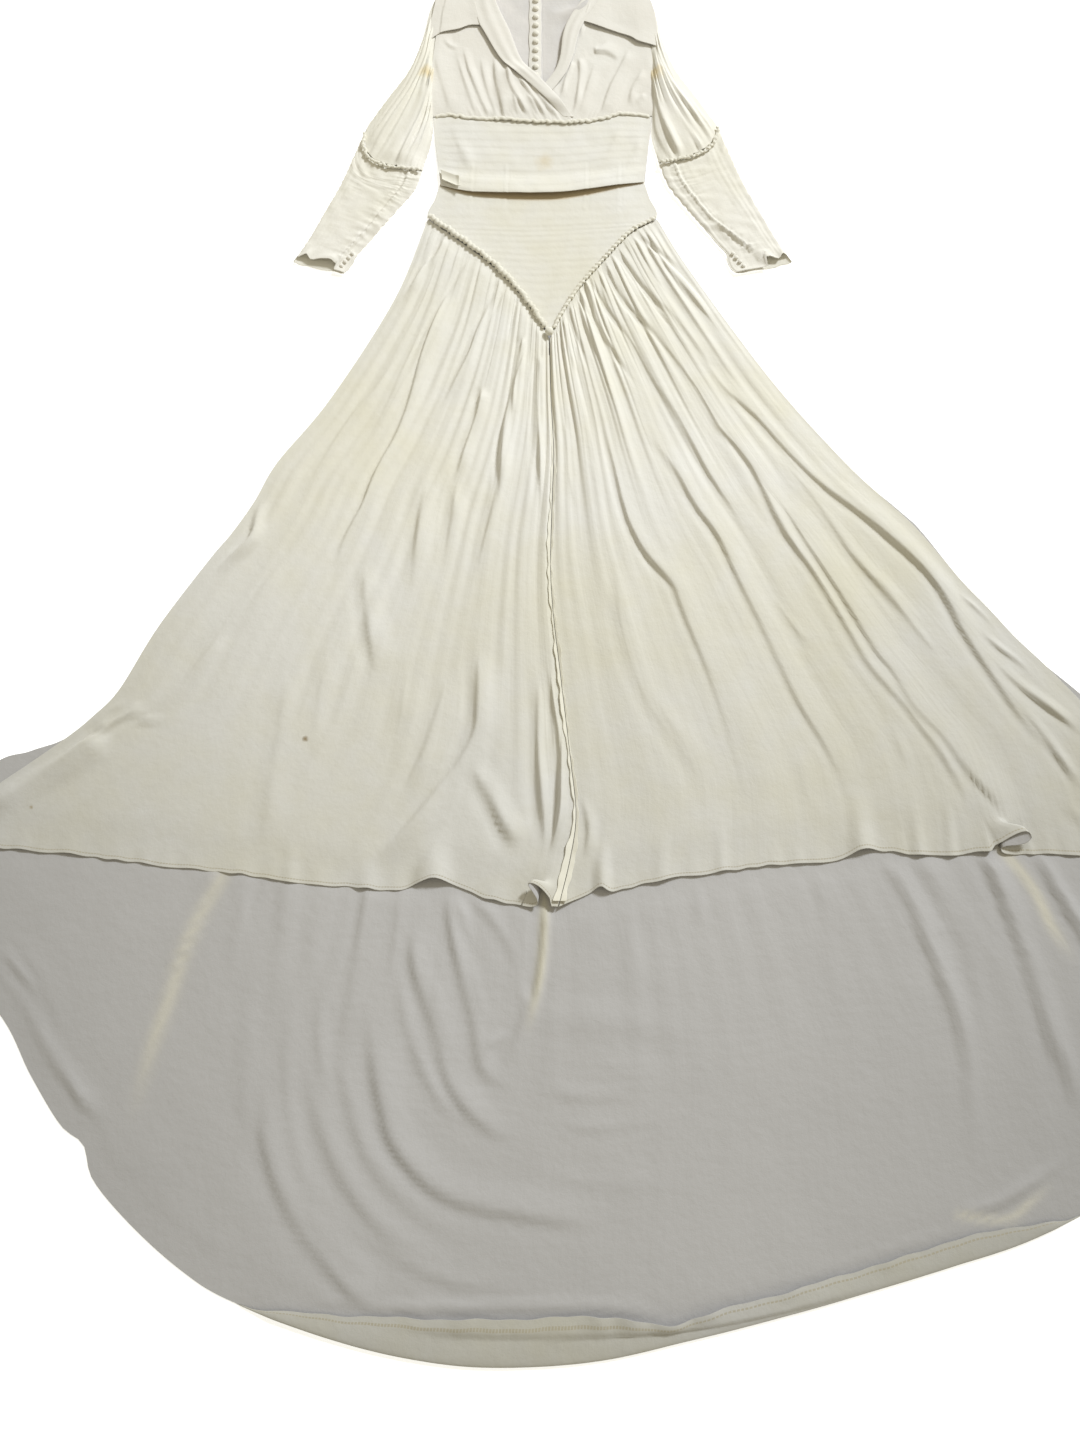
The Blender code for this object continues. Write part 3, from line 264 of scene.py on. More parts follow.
# Folds of the train, written as the skirt's are
TRAIN_FOLDS = [
    ([(-0.345, -0.740), (-0.345, -0.820), (-0.306, -0.905), (-0.252, -0.967), (-0.201, -1.018)],
     0.0039, 0.0063, 0.045, 0.3, 0.12),
    ([(-0.225, -0.640), (-0.214, -0.720), (-0.201, -0.779), (-0.182, -0.828), (-0.121, -0.883), (-0.028, -0.905),
      (0.090, -0.920)], 0.0050, 0.0063, 0.041, 0.25, 0.3),
    ([(-0.172, -0.545), (-0.164, -0.612), (-0.135, -0.689), (-0.115, -0.755), (-0.072, -0.803), (-0.020, -0.826)],
     0.0040, 0.0058, 0.031, 0.2, 0.3),
    ([(-0.124, -0.500), (-0.120, -0.550), (-0.106, -0.612), (-0.087, -0.680), (-0.073, -0.738), (-0.030, -0.762)],
     0.0040, 0.0058, 0.023, 0.08, 0.3),
    ([(-0.118, -0.500), (-0.102, -0.550), (-0.086, -0.596)], 0.0032, 0.0058, 0.011, 0.1, 0.5),
    ([(-0.094, -0.515), (-0.056, -0.560), (-0.030, -0.612)], 0.0027, 0.0058, 0.016, 0.1, 0.5),
    ([(-0.300, -0.690), (-0.290, -0.760), (-0.258, -0.843), (-0.187, -0.929), (-0.070, -0.995)],
     0.0027, 0.0070, 0.036, 0.3, 0.35),
    ([(-0.262, -0.720), (-0.240, -0.790), (-0.210, -0.850), (-0.160, -0.900), (-0.080, -0.945)],
     0.0025, 0.0070, 0.031, 0.4, 0.4),
    ([(-0.226, -0.480), (-0.232, -0.520), (-0.240, -0.591), (-0.250, -0.677), (-0.256, -0.740)],
     0.0028, 0.0058, 0.036, 0.05, 0.5),
    ([(-0.340, -0.480), (-0.343, -0.600), (-0.349, -0.719)], 0.0018, 0.0070, 0.041, 0.1, 0.5),
    ([(-0.300, -0.480), (-0.303, -0.580), (-0.306, -0.660)], 0.0014, 0.0070, 0.032, 0.1, 0.5),
    ([(-0.182, -0.480), (-0.190, -0.560), (-0.198, -0.650)], 0.0018, 0.0063, 0.027, 0.1, 0.5),
    ([(-0.490, -0.700), (-0.468, -0.610), (-0.448, -0.548), (-0.420, -0.470)], 0.0027, 0.0070, 0.013, 0.5, 0.1),
    ([(-0.390, -0.640), (-0.385, -0.560), (-0.380, -0.470)], 0.0015, 0.0084, 0.018, 0.5, 0.1),
    ([(-0.262, -0.690), (-0.245, -0.760), (-0.212, -0.830), (-0.160, -0.885), (-0.090, -0.925)],
     0.0020, 0.0060, 0.016, 0.3, 0.4),
    ([(-0.190, -0.600), (-0.175, -0.670), (-0.150, -0.735), (-0.110, -0.790), (-0.050, -0.822)],
     0.0020, 0.0060, 0.014, 0.3, 0.4),
    ([(-0.150, -0.600), (-0.135, -0.650), (-0.118, -0.700), (-0.090, -0.745)], 0.0020, 0.0060, 0.012, 0.3, 0.4),
    ([(-0.105, -0.560), (-0.090, -0.620), (-0.072, -0.670), (-0.050, -0.700)], 0.0018, 0.0060, 0.012, 0.3, 0.4),
    ([(-0.280, -0.600), (-0.285, -0.680), (-0.275, -0.750), (-0.250, -0.810)], 0.0016, 0.0060, 0.018, 0.4, 0.4),
    ([(-0.320, -0.600), (-0.325, -0.700), (-0.318, -0.780), (-0.295, -0.860), (-0.250, -0.930)],
     0.0018, 0.0060, 0.020, 0.4, 0.3),
    ([(-0.370, -0.580), (-0.378, -0.680), (-0.375, -0.770), (-0.355, -0.850)], 0.0016, 0.0070, 0.024, 0.4, 0.4),
    ([(-0.240, -0.900), (-0.180, -0.950), (-0.100, -0.980), (0.000, -0.985)], 0.0018, 0.0060, 0.016, 0.3, 0.4),
    ([(-0.300, -0.880), (-0.250, -0.940), (-0.190, -0.985)], 0.0018, 0.0060, 0.016, 0.3, 0.3),
    ([(-0.604, -0.732), (-0.580, -0.768), (-0.556, -0.806)], 0.0060, 0.0060, 0.012, 0.2, 0.15),
    ([(-0.700, -0.582), (-0.670, -0.618), (-0.640, -0.648)], 0.0026, 0.0060, 0.014, 0.3, 0.3),
    ([(0.004, -0.490), (0.003, -0.560), (-0.002, -0.610), (-0.012, -0.660), (-0.022, -0.700)],
     0.0085, 0.0055, 0.009, 0.05, 0.45),
    ([(-0.030, -0.620), (-0.022, -0.660), (-0.034, -0.700), (-0.046, -0.730)], 0.0025, 0.0058, 0.013, 0.3, 0.4),
    ([(-0.068, -0.730), (-0.060, -0.705), (-0.036, -0.690)], 0.0025, 0.0058, 0.011, 0.3, 0.4),
    ([(0.430, -0.430), (0.462, -0.490), (0.490, -0.550), (0.515, -0.628), (0.534, -0.713), (0.530, -0.850)],
     0.0045, 0.0058, 0.027, 0.05, 0.4),
    ([(0.500, -0.590), (0.514, -0.570), (0.536, -0.556)], 0.0025, 0.0058, 0.011, 0.3, 0.4),
    ([(0.570, -0.430), (0.589, -0.480), (0.621, -0.585), (0.646, -0.696), (0.680, -0.810)],
     0.0053, 0.0058, 0.031, 0.05, 0.3),
    ([(0.640, -0.430), (0.665, -0.487), (0.712, -0.585), (0.765, -0.690)], 0.0053, 0.0058, 0.020, 0.05, 0.35),
    ([(0.480, -0.440), (0.520, -0.520), (0.552, -0.600), (0.566, -0.700)], 0.0019, 0.0058, 0.023, 0.2, 0.5),
    ([(0.350, -0.450), (0.368, -0.540), (0.378, -0.640)], 0.0013, 0.0063, 0.027, 0.1, 0.5),
    ([(0.200, -0.470), (0.205, -0.530), (0.206, -0.560)], 0.0019, 0.0058, 0.014, 0.1, 0.5),
    ([(0.110, -0.490), (0.116, -0.560), (0.120, -0.640)], 0.0012, 0.0070, 0.027, 0.1, 0.5),
    ([(-0.740, -0.560), (-0.700, -0.640), (-0.640, -0.713), (-0.590, -0.763), (-0.558, -0.815)],
     0.0040, 0.0070, 0.031, 0.35, 0.1),
    ([(-0.790, -0.530), (-0.740, -0.590), (-0.690, -0.640)], 0.0019, 0.0058, 0.022, 0.4, 0.4),
    ([(-0.700, -0.560), (-0.650, -0.620), (-0.600, -0.700)], 0.0013, 0.0070, 0.031, 0.4, 0.4),
    ([(0.500, -0.908), (0.560, -0.893), (0.600, -0.872), (0.660, -0.838)], 0.0033, 0.0058, 0.013, 0.3, 0.3),
    ([(-0.330, -0.994), (-0.191, -1.006), (-0.095, -1.007), (0.000, -1.006), (0.066, -1.006), (0.111, -1.010),
      (0.149, -1.019), (0.183, -1.006), (0.288, -0.981), (0.435, -0.942), (0.571, -0.908)],
     0.0028, 0.0058, 0.009, 0.1, 0.1),
    ([(0.000, -0.760), (0.060, -0.770), (0.120, -0.765)], 0.0012, 0.0058, 0.018, 0.3, 0.4),
    ([(0.010, -0.800), (0.080, -0.806), (0.160, -0.796)], 0.0009, 0.0058, 0.018, 0.3, 0.4),
    ([(-0.010, -0.860), (0.080, -0.872), (0.180, -0.868)], 0.0009, 0.0070, 0.023, 0.3, 0.4),
]

# Folds of the front bodices above the seam under the bust, written as the skirt's are
BUST_FOLDS = {
    -1: [
        ([(-0.176, 0.850), (-0.160, 0.790), (-0.145, 0.734)], 0.0014, 0.0047, 0.022, 0.3, 0.2),
        ([(-0.140, 0.860), (-0.125, 0.800), (-0.104, 0.728)], 0.0017, 0.0037, 0.016, 0.3, 0.12),
        ([(-0.128, 0.868), (-0.118, 0.820), (-0.100, 0.766), (-0.082, 0.722)], 0.0027, 0.0028, 0.014, 0.25, 0.10),
        ([(-0.098, 0.850), (-0.092, 0.800), (-0.071, 0.722)], 0.0017, 0.0028, 0.014, 0.3, 0.12),
        ([(-0.076, 0.845), (-0.073, 0.796), (-0.058, 0.722)], 0.0027, 0.0028, 0.013, 0.2, 0.10),
        ([(-0.056, 0.830), (-0.050, 0.786), (-0.034, 0.750), (-0.021, 0.726)], 0.0028, 0.0024, 0.011, 0.12, 0.12),
        ([(-0.044, 0.772), (-0.042, 0.751), (-0.036, 0.726)], 0.0016, 0.0019, 0.007, 0.3, 0.2),
        ([(-0.038, 0.800), (-0.018, 0.767), (-0.002, 0.740), (0.008, 0.724)], 0.0024, 0.0024, 0.009, 0.2, 0.15),
        ([(-0.018, 0.786), (-0.002, 0.760), (0.013, 0.738), (0.029, 0.722)], 0.0021, 0.0019, 0.008, 0.2, 0.15),
        ([(-0.024, 0.766), (-0.012, 0.745), (-0.004, 0.726)], 0.0016, 0.0019, 0.006, 0.3, 0.2),
        ([(-0.160, 0.880), (-0.150, 0.866), (-0.132, 0.856)], 0.0016, 0.0028, 0.010, 0.3, 0.4),
    ],
    1: [
        ([(0.062, 0.842), (0.063, 0.806), (0.058, 0.760), (0.052, 0.726)], 0.0025, 0.0024, 0.014, 0.12, 0.3),
        ([(0.052, 0.838), (0.040, 0.799), (0.032, 0.760)], 0.0020, 0.0024, 0.009, 0.15, 0.3),
        ([(0.044, 0.826), (0.026, 0.796), (0.014, 0.768)], 0.0017, 0.0024, 0.008, 0.15, 0.3),
        ([(0.090, 0.835), (0.074, 0.780), (0.061, 0.726)], 0.0016, 0.0037, 0.018, 0.3, 0.2),
        ([(0.146, 0.862), (0.128, 0.820), (0.111, 0.780), (0.097, 0.730)], 0.0022, 0.0032, 0.030, 0.2, 0.15),
        ([(0.168, 0.820), (0.148, 0.780), (0.142, 0.744)], 0.0019, 0.0037, 0.018, 0.3, 0.3),
        ([(0.088, 0.870), (0.091, 0.853), (0.110, 0.850), (0.132, 0.834)], 0.0027, 0.0042, 0.026, 0.30, 0.35),
        ([(0.170, 0.772), (0.160, 0.762), (0.152, 0.750)], 0.0014, 0.0028, 0.012, 0.3, 0.3),
    ],
}
BUST_FOLD_SCALE = {-1: 1.0, 1: 1.5}

# Neckline: inner edge of each front from the shoulder to the seam under the bust
NECKLINE = {
    -1: [(-0.084, 1.035), (-0.074, 0.960), (-0.050, 0.895), (-0.034, 0.845), (-0.018, 0.816), (0.003, 0.790),
         (0.054, 0.7235)],
    1: [(0.092, 1.035), (0.072, 0.966), (0.050, 0.925), (0.038, 0.890), (0.031, 0.835), (0.012, 0.795),
        (-0.046, 0.7235)],
}
# Share of a front's width that its neck band takes, at places down it
BAND_AT = [0.0, 0.36, 0.62, 0.80, 1.0]
BAND_SHARE = {-1: [0.42, 0.37, 0.21, 0.13, 0.07], 1: [0.34, 0.20, 0.13, 0.12, 0.07]}

# Seam under the bust, which wanders, from left to right: x, y
UNDERBUST_SEAM = [(-0.174, 0.724), (-0.158, 0.729), (-0.145, 0.731), (-0.130, 0.726), (-0.113, 0.721), (-0.064, 0.720),
                  (0.000, 0.714), (0.050, 0.713), (0.080, 0.716), (0.110, 0.724), (0.129, 0.731), (0.150, 0.730),
                  (0.182, 0.726)]

# Darts that cross the waist, by x
DARTS = [-0.108, -0.054, 0.072, 0.124]

# Sleeve sections from the armhole down, on the viewer's right: outer x, y, inner x, y, height
UPPER_SLEEVE = [
    (0.1683, 0.9840, 0.1856, 0.7660, 0.0070), (0.1850, 0.9450, 0.1885, 0.7480, 0.0080),
    (0.1960, 0.8800, 0.1885, 0.7280, 0.0090), (0.2160, 0.8180, 0.1860, 0.7000, 0.0095),
    (0.2480, 0.7640, 0.1830, 0.6660, 0.0085), (0.2780, 0.7120, 0.1840, 0.6360, 0.0070),
]
LOWER_SLEEVE = [
    (0.2800, 0.7080, 0.1850, 0.6340, 0.0064), (0.2990, 0.6500, 0.1990, 0.5920, 0.0064),
    (0.3180, 0.5950, 0.2280, 0.5470, 0.0064), (0.3400, 0.5450, 0.2560, 0.5080, 0.0066),
    (0.3600, 0.4990, 0.2820, 0.4720, 0.0070), (0.3790, 0.4620, 0.3090, 0.4420, 0.0074),
]
# Lengthwise folds of the upper sleeves: place across it from -1, inner, to 1, at the armhole and at the
# elbow, then height, half width as a share of the half width, and the shares over which it starts and ends
SLEEVE_FOLDS = {
    -1: [(0.70, 0.80, 0.0022, 0.09, 0.2, 0.1), (0.45, 0.60, 0.0028, 0.08, 0.2, 0.1),
         (0.20, 0.36, 0.0026, 0.07, 0.3, 0.1), (0.05, 0.16, 0.0028, 0.07, 0.2, 0.1),
         (-0.18, -0.04, 0.0026, 0.06, 0.3, 0.1), (-0.36, -0.24, 0.0040, 0.07, 0.2, 0.1),
         (-0.55, -0.45, 0.0030, 0.07, 0.2, 0.1), (-0.72, -0.66, 0.0042, 0.08, 0.1, 0.1),
         (0.86, 0.92, 0.0018, 0.05, 0.4, 0.1)],
    1: [(0.62, 0.82, 0.0030, 0.06, 0.1, 0.1), (0.42, 0.66, 0.0050, 0.08, 0.1, 0.05),
        (0.22, 0.46, 0.0046, 0.07, 0.3, 0.05), (0.02, 0.26, 0.0052, 0.09, 0.15, 0.05),
        (-0.25, -0.06, 0.0034, 0.09, 0.3, 0.1), (-0.52, -0.36, 0.0056, 0.10, 0.1, 0.1),
        (-0.80, -0.70, 0.0030, 0.08, 0.2, 0.1)],
}
SLEEVE_FOLD_SCALE = {-1: 2.6, 1: 1.25}
# Least level of an upper sleeve's outer face, by the sine of the turn round it: underneath, at an edge, on top
SLEEVE_LEAST = ([-0.3, 0.0, 0.1], [0.0010, 0.0034, 0.0036])
# How far the elbow seam bows towards the cuff and drops at its inner end, and the way down the upper sleeve there
ELBOW_BOW = {-1: 0.048, 1: 0.030}
ELBOW_DROP = {-1: 0.016, 1: 0.0}
ELBOW_WAY = np.array([0.31, -0.95])

# Height of a button and of the knot as a share of its width, and how far a cuff button sinks into the cuff
BUTTON_FLAT = 0.55
KNOT_FLAT = 0.8
CUFF_SUNK = 0.0016

# Materials of a piece's outer and inner faces
BODICE_FACES = ["rayon_crepe_bodice", "rayon_crepe_inside"]
SLEEVE_FACES = ["rayon_crepe_sleeve", "rayon_crepe_trim"]
BACK_FACES = ["rayon_crepe_inside", "rayon_crepe_face"]

# The phone's camera as the photo's perspective gives it, and the window's light as its shadows do
CAMERA_AT = (0.0, -0.660, 1.43)
CAMERA_TILT = math.radians(15.0)
WINDOW_AT = (7.9, 9.9, 9.2)

# Marks of age: x, y, radius, strength of the mark, colour
SPOTS = {
    "waist": (0.006, 0.638, 0.019, 0.42, "#d2bf92"),
    "skirt": (-0.319, -0.305, 0.0050, 0.90, "#8c7a5c"),
    "side": (-0.680, -0.399, 0.0032, 0.70, "#9a8a6a"),
    "left armhole": (-0.182, 0.806, 0.018, 0.60, "#dcc68e"),
    "right armhole": (0.186, 0.806, 0.018, 0.60, "#dcc68e"),
}


def srgb(code):
    """Linear colour of an sRGB hex value."""
    parts = [int(code[k:k + 2], 16) / 255 for k in (1, 3, 5)]
    return tuple(p / 12.92 if p <= 0.04045 else ((p + 0.055) / 1.055) ** 2.4 for p in parts)


class GownCut(bpy.types.PropertyGroup):
    """Sizes of the cloth, its folds and its trims."""

    wall: FloatProperty(name="Cloth", description="Thickness of the crepe", default=0.0009, unit="LENGTH")
    fold: FloatProperty(name="Folds", description="Height of the folds as a share of their tables'", default=1.0)
    gather: FloatProperty(name="Gathers", description="Height of the gathers at the pointed seam", default=0.0040,
                          unit="LENGTH")
    tuck: FloatProperty(name="Tucks", description="Height of the rows of tucks", default=0.00038, unit="LENGTH")
    button: FloatProperty(name="Buttons", description="Radius of a back button", default=0.0051, unit="LENGTH")
    cuff_button: FloatProperty(name="Cuff buttons", description="Radius of a cuff button", default=0.0032,
                               unit="LENGTH")


def tint(name, code, text):
    """A colour property with this sRGB hex value."""
    return FloatVectorProperty(name=name, description=text, subtype="COLOR", size=3, min=0, max=1, default=srgb(code))


class GownColours(bpy.types.PropertyGroup):
    """Colours of the crepe and its trims."""

    face: tint("Crepe", "#e8e6e1", "Outer face of the crepe")
    aged: tint("Aged crepe", "#e4e0d0", "Where the crepe has yellowed")
    inside: tint("Inner face", "#c6c4c4", "Inner face of the crepe")
    trim: tint("Trims", "#e9e6dc", "Ruched cords and seam edges")
    bodice: tint("Bodice crepe", "#e7e3dc", "Outer face of the bodice, the least yellowed")
    sleeve: tint("Sleeve crepe", "#edeae3", "Outer face of the sleeves")
    neck: tint("Back of the bodice", "#e4e0dd", "Inner face of the back bodice")
    thread: tint("Stitches", "#a0967b", "Rows of stitches")


def smooth(t):
    """0 below 0, 1 above 1, and an even rise between."""
    t = np.clip(t, 0.0, 1.0)
    return t * t * (3 - 2 * t)


def off_ends(u, reach):
    """0 at both ends of u, and an even rise to 1 over this share of it."""
    return smooth(np.minimum(u, 1 - u) / reach)


def bell(off, half):
    """1 where off is 0, and about a third at this distance to both sides."""
    return np.exp(-((off / half) ** 2))


def smooth_line(points, steps=12):
    """A function of 0 to 1 that runs at an even speed along a smooth curve through the points."""
    knots = np.array(points, float)
    ends = np.vstack([2 * knots[0] - knots[1], knots, 2 * knots[-1] - knots[-2]])
    t = np.linspace(0, 1, steps, endpoint=False)[:, None]
    fine = [0.5 * (2 * b + (c - a) * t + (2 * a - 5 * b + 4 * c - d) * t**2 + (3 * b - a - 3 * c + d) * t**3)
            for a, b, c, d in zip(ends, ends[1:], ends[2:], ends[3:])]
    fine = np.vstack([*fine, knots[-1:]])
    reach = np.concatenate([[0.0], np.cumsum(np.linalg.norm(np.diff(fine, axis=0), axis=1))])

    def at(t):
        goal = np.clip(t, 0.0, 1.0) * reach[-1]
        return np.stack([np.interp(goal, reach, fine[:, k]) for k in range(fine.shape[1])], -1)

    return at


def patch(top, bottom, start, end):
    """A function of u and v that fills four edges: top and bottom run along u, start and end along v."""

    def at(u, v):
        a, b = u[..., None], v[..., None]
        across = top(u) * (1 - b) + bottom(u) * b
        down = start(v) * (1 - a) + end(v) * a
        corners = (top(0.0) * (1 - a) + top(1.0) * a) * (1 - b) + (bottom(0.0) * (1 - a) + bottom(1.0) * a) * b
        return across + down - corners

    return at


def lift(spots, height):
    """Plan points with their heights."""
    return np.column_stack([spots[:, 0], spots[:, 1], np.broadcast_to(height, len(spots))])


def beside(x, y, line):
    """How far each point lies to the side of a line, positive on the left of its run, and its share of the run."""
    start, run = line[:-1], np.diff(line, axis=0)
    length = np.linalg.norm(run, axis=1)
    away = np.stack([x, y], -1)[:, None] - start
    along = np.clip((away * run).sum(-1) / length**2, 0, 1)
    rest = away - along[..., None] * run
    best = np.argmin((rest**2).sum(-1), 1)
    rows = np.arange(len(x))
    rest, along = rest[rows, best], along[rows, best]
    side = run[best, 0] * rest[:, 1] - run[best, 1] * rest[:, 0]
    before = np.concatenate([[0.0], np.cumsum(length)])
    return np.hypot(*rest.T) * np.sign(side), (before[best] + along * length[best]) / before[-1]


def fold_heights(x, y, folds):
    """Height that a table of folds gives each plan point.

    Folds that meet blend into one another, and the cloth dips a little beyond the foot of each steep side.
    """
    total, dip = np.zeros(len(x)), np.zeros(len(x))
    for points, height, steep, gentle, start, end in folds:
        line = smooth_line(points)(np.linspace(0, 1, 28))
        low, high = line.min(0) - steep - gentle, line.max(0) + steep + gentle
        near = np.flatnonzero((x > low[0]) & (x < high[0]) & (y > low[1]) & (y < high[1]))
        if not len(near):
            continue
        off, share = beside(x[near], y[near], line)
        width = steep * (1.10 + 0.30 * np.sin(13 * share + 90 * points[0][0]))
        across = smooth(off / width + 0.5) * (1 - smooth((off - width / 2) / gentle))
        swell = 0.80 + 0.20 * np.sin(9 * share + 60 * points[0][0] + 50 * points[0][1])
        run = height * swell * smooth(share / start) * smooth((1 - share) / end)
        total[near] += (run * across) ** 3
        dip[near] = np.maximum(dip[near], 0.28 * run * bell(off + 1.6 * steep, 0.6 * steep + 0.004))
    return np.cbrt(total) - dip


def troughs(x, y, lines):
    """Depth that a table of narrow troughs takes from each plan point."""
    total = np.zeros(len(x))
    for points, depth, reach in lines:
        off, share = beside(x, y, smooth_line(points)(np.linspace(0, 1, 16)))
        total = np.maximum(total, depth * bell(off, reach) * smooth((1 - share) / 0.5))
    return total


def gathers(u, v, count, seed, fade, lasting, lean=0.0):
    """Uneven folds, 1 at their highest, that fan out from a gathered seam and fade down the panel.

    fade is the share of the panel that they reach down, and lasting the share of their height that goes on beyond.
    With lean 1 a fold falls steeply towards higher u, and with -1 towards lower u.
    """
    rng = np.random.default_rng(seed)
    rise = np.zeros(len(u))
    for k in range(count):
        middle = (k + 0.5 + rng.uniform(-0.32, 0.32)) / count
        width = rng.uniform(0.30, 0.50) / count
        share, reach, drift = rng.uniform(0.35, 1.0), fade * rng.uniform(0.35, 1.8), rng.uniform(-0.5, 0.5) / count
        bend = rng.uniform(-0.25, 0.25) / count * np.sin(rng.uniform(4, 9) * v + rng.uniform(0, 6))
        off = (u - middle - drift * v - bend) / (width * (1 + 0.8 * v))
        off = off * np.where(off > 0, 1 + 0.8 * lean, 1 - 0.8 * lean * 0.5)
        down = lasting * rng.uniform(0.2, 1.6) + (1 - lasting) * (1 - smooth(v / reach))
        rise = np.maximum(rise, share * down * bell(off, 1.0))
    return rise


def streaks(u, v, least, most, seed, count=9):
    """Shallow ripples that run down a panel, from -1 to 1, with least to most of them across it."""
    rng = np.random.default_rng(seed)
    total = np.zeros(len(u))
    for _ in range(count):
        rate, turn, slant = rng.uniform(least, most), rng.uniform(0, 6.28), rng.uniform(-3.0, 3.0)
        swell = 0.5 + 0.5 * np.sin(rng.uniform(2, 6) * v + rng.uniform(2, 7) * u + rng.uniform(0, 6.28))
        total += swell * np.sin(ROUND * rate * u + turn + slant * v)
    return total / count * 1.6


def ripples(x, y, size, seed, count=14):
    """An uneven crumple from -1 to 1 whose dents are about this size across."""
    rng = np.random.default_rng(seed)
    total = np.zeros(len(x))
    for _ in range(count):
        way, rate = rng.uniform(0, 6.28), ROUND / (size * rng.uniform(1.4, 3.0))
        total += np.sin(rate * (x * np.cos(way) + y * np.sin(way)) + rng.uniform(0, 6.28))
    return total / count * 1.8


def node(tree, kind, values=None, links=None, **settings):
    """Adds a node with its settings, its sockets' values and what is linked to them."""
    made = tree.nodes.new(kind)
    for name, value in settings.items():
        setattr(made, name, value)
    for socket, value in (values or {}).items():
        made.inputs[socket].default_value = value
    for socket, source in (links or {}).items():
        tree.links.new(source, made.inputs[socket])
    return made


def crepe(name, colour, aged, spots=(), stitched=False, falloff_left=1.0, crushed=0.6, drawn=0.0, stripe_and_shade_colour=None):
    """Soft rayon crepe, woven of hard-twisted yarn: matt, finely pebbled, with a faint sheen at a low angle.

    aged is its colour where it has yellowed, and stripe_and_shade_colour that of its stripes and of a painted shadow.
    stitched draws a row of stitches along an edge. falloff_left is the share of its brightness left at the train's end,
    where it is darkened as painted shade for the light that falls off there. crushed and drawn are the strengths of
    its creases and of its long streaks.
    """
    made = bpy.data.materials.new(name)
    made.use_nodes = True
    tree = made.node_tree
    shader = tree.nodes["Principled BSDF"]
    shader.inputs["Roughness"].default_value = 0.82
    shader.inputs["Specular IOR Level"].default_value = 0.22
    shader.inputs["Sheen Weight"].default_value = 0.12
    shader.inputs["Sheen Roughness"].default_value = 0.45
    place = node(tree, "ShaderNodeTexCoord")
    # Yellowing in soft patches, about 0.3 m across, and in small ones of 30 mm
    broad = node(tree, "ShaderNodeTexNoise", {"Scale": 3.3, "Detail": 3.0}, {"Vector": place.outputs["Object"]})
    small = node(tree, "ShaderNodeTexNoise", {"Scale": 33.0, "Detail": 2.0}, {"Vector": place.outputs["Object"]})
    both = node(tree, "ShaderNodeMath", {1: 0.25}, {0: small.outputs["Fac"], 2: broad.outputs["Fac"]},
                operation="MULTIPLY_ADD")
    patchy = node(tree, "ShaderNodeMapRange", {"From Min": 0.50, "From Max": 0.86}, {"Value": both.outputs[0]})
    base = node(tree, "ShaderNodeMix", {6: (*colour, 1), 7: (*aged, 1)}, {0: patchy.outputs["Result"]},
                data_type="RGBA")
    # Painted shade: towards the train's end the cloth is darkened, and so it is at its sides, for the light that falls
    # off there
    split = node(tree, "ShaderNodeSeparateXYZ", links={0: place.outputs["Object"]})
    lower = node(tree, "ShaderNodeMapRange", {"From Min": 0.12, "From Max": -1.05, "To Max": 1 - falloff_left},
                 {"Value": split.outputs["Y"]})
    beyond = node(tree, "ShaderNodeMath", {}, {0: split.outputs["X"]}, operation="ABSOLUTE")
    sides = node(tree, "ShaderNodeMapRange",
                 {"From Min": 0.30, "From Max": 0.80, "To Max": 0.19 if falloff_left < 1 else 0.0},
                 {"Value": beyond.outputs[0]})
    painted_falloff = node(tree, "ShaderNodeMath", {}, {0: lower.outputs["Result"], 1: sides.outputs["Result"]}, operation="ADD")
    base = node(tree, "ShaderNodeMix", {7: (0.05, 0.05, 0.05, 1)}, {0: painted_falloff.outputs[0], 6: base.outputs[2]},
                data_type="RGBA")
    for x, y, radius, strength, code in spots:
        flat = node(tree, "ShaderNodeVectorMath", {1: (1, 1, 0)}, {0: place.outputs["Object"]}, operation="MULTIPLY")
        away = node(tree, "ShaderNodeVectorMath", {1: (x, y, 0)}, {0: flat.outputs[0]}, operation="DISTANCE")
        ragged = node(tree, "ShaderNodeTexNoise", {"Scale": 1.2 / radius, "Detail": 3.0},
                      {"Vector": place.outputs["Object"]})
        reach = node(tree, "ShaderNodeMath", {1: radius}, {0: ragged.outputs["Fac"], 2: away.outputs["Value"]},
                     operation="MULTIPLY_ADD")
        mark = node(tree, "ShaderNodeMapRange", {"From Min": 1.5 * radius, "From Max": 0.7 * radius,
                                                 "To Max": strength}, {"Value": reach.outputs[0]})
        base = node(tree, "ShaderNodeMix", {7: (*srgb(code), 1)}, {0: mark.outputs["Result"], 6: base.outputs[2]},
                    data_type="RGBA")
    if stitched:
        # A row of stitches 5 mm from the edge; real ones are 2 mm long, and these 4 mm so that they show
        edge = node(tree, "ShaderNodeAttribute", attribute_name="from_edge")
        row = node(tree, "ShaderNodeMath", {1: 0.0050, 2: 0.0009}, {0: edge.outputs["Fac"]}, operation="COMPARE")
        cut = node(tree, "ShaderNodeUVMap", uv_map="cut")
        across = node(tree, "ShaderNodeSeparateXYZ", links={0: cut.outputs["UV"]})
        run = node(tree, "ShaderNodeMath", {1: 0.004}, {0: across.outputs["X"]}, operation="FLOORED_MODULO")
        dash = node(tree, "ShaderNodeMath", {1: 0.0028}, {0: run.outputs[0]}, operation="LESS_THAN")
        shown = node(tree, "ShaderNodeMath", {}, {0: row.outputs[0], 1: dash.outputs[0]}, operation="MULTIPLY")
        faint = node(tree, "ShaderNodeMath", {1: 0.55}, {0: shown.outputs[0]}, operation="MULTIPLY")
        thread = bpy.context.scene.gown_colours.thread
        base = node(tree, "ShaderNodeMix", {7: (*thread, 1)}, {0: faint.outputs[0], 6: base.outputs[2]},
                    data_type="RGBA")
    if stripe_and_shade_colour:
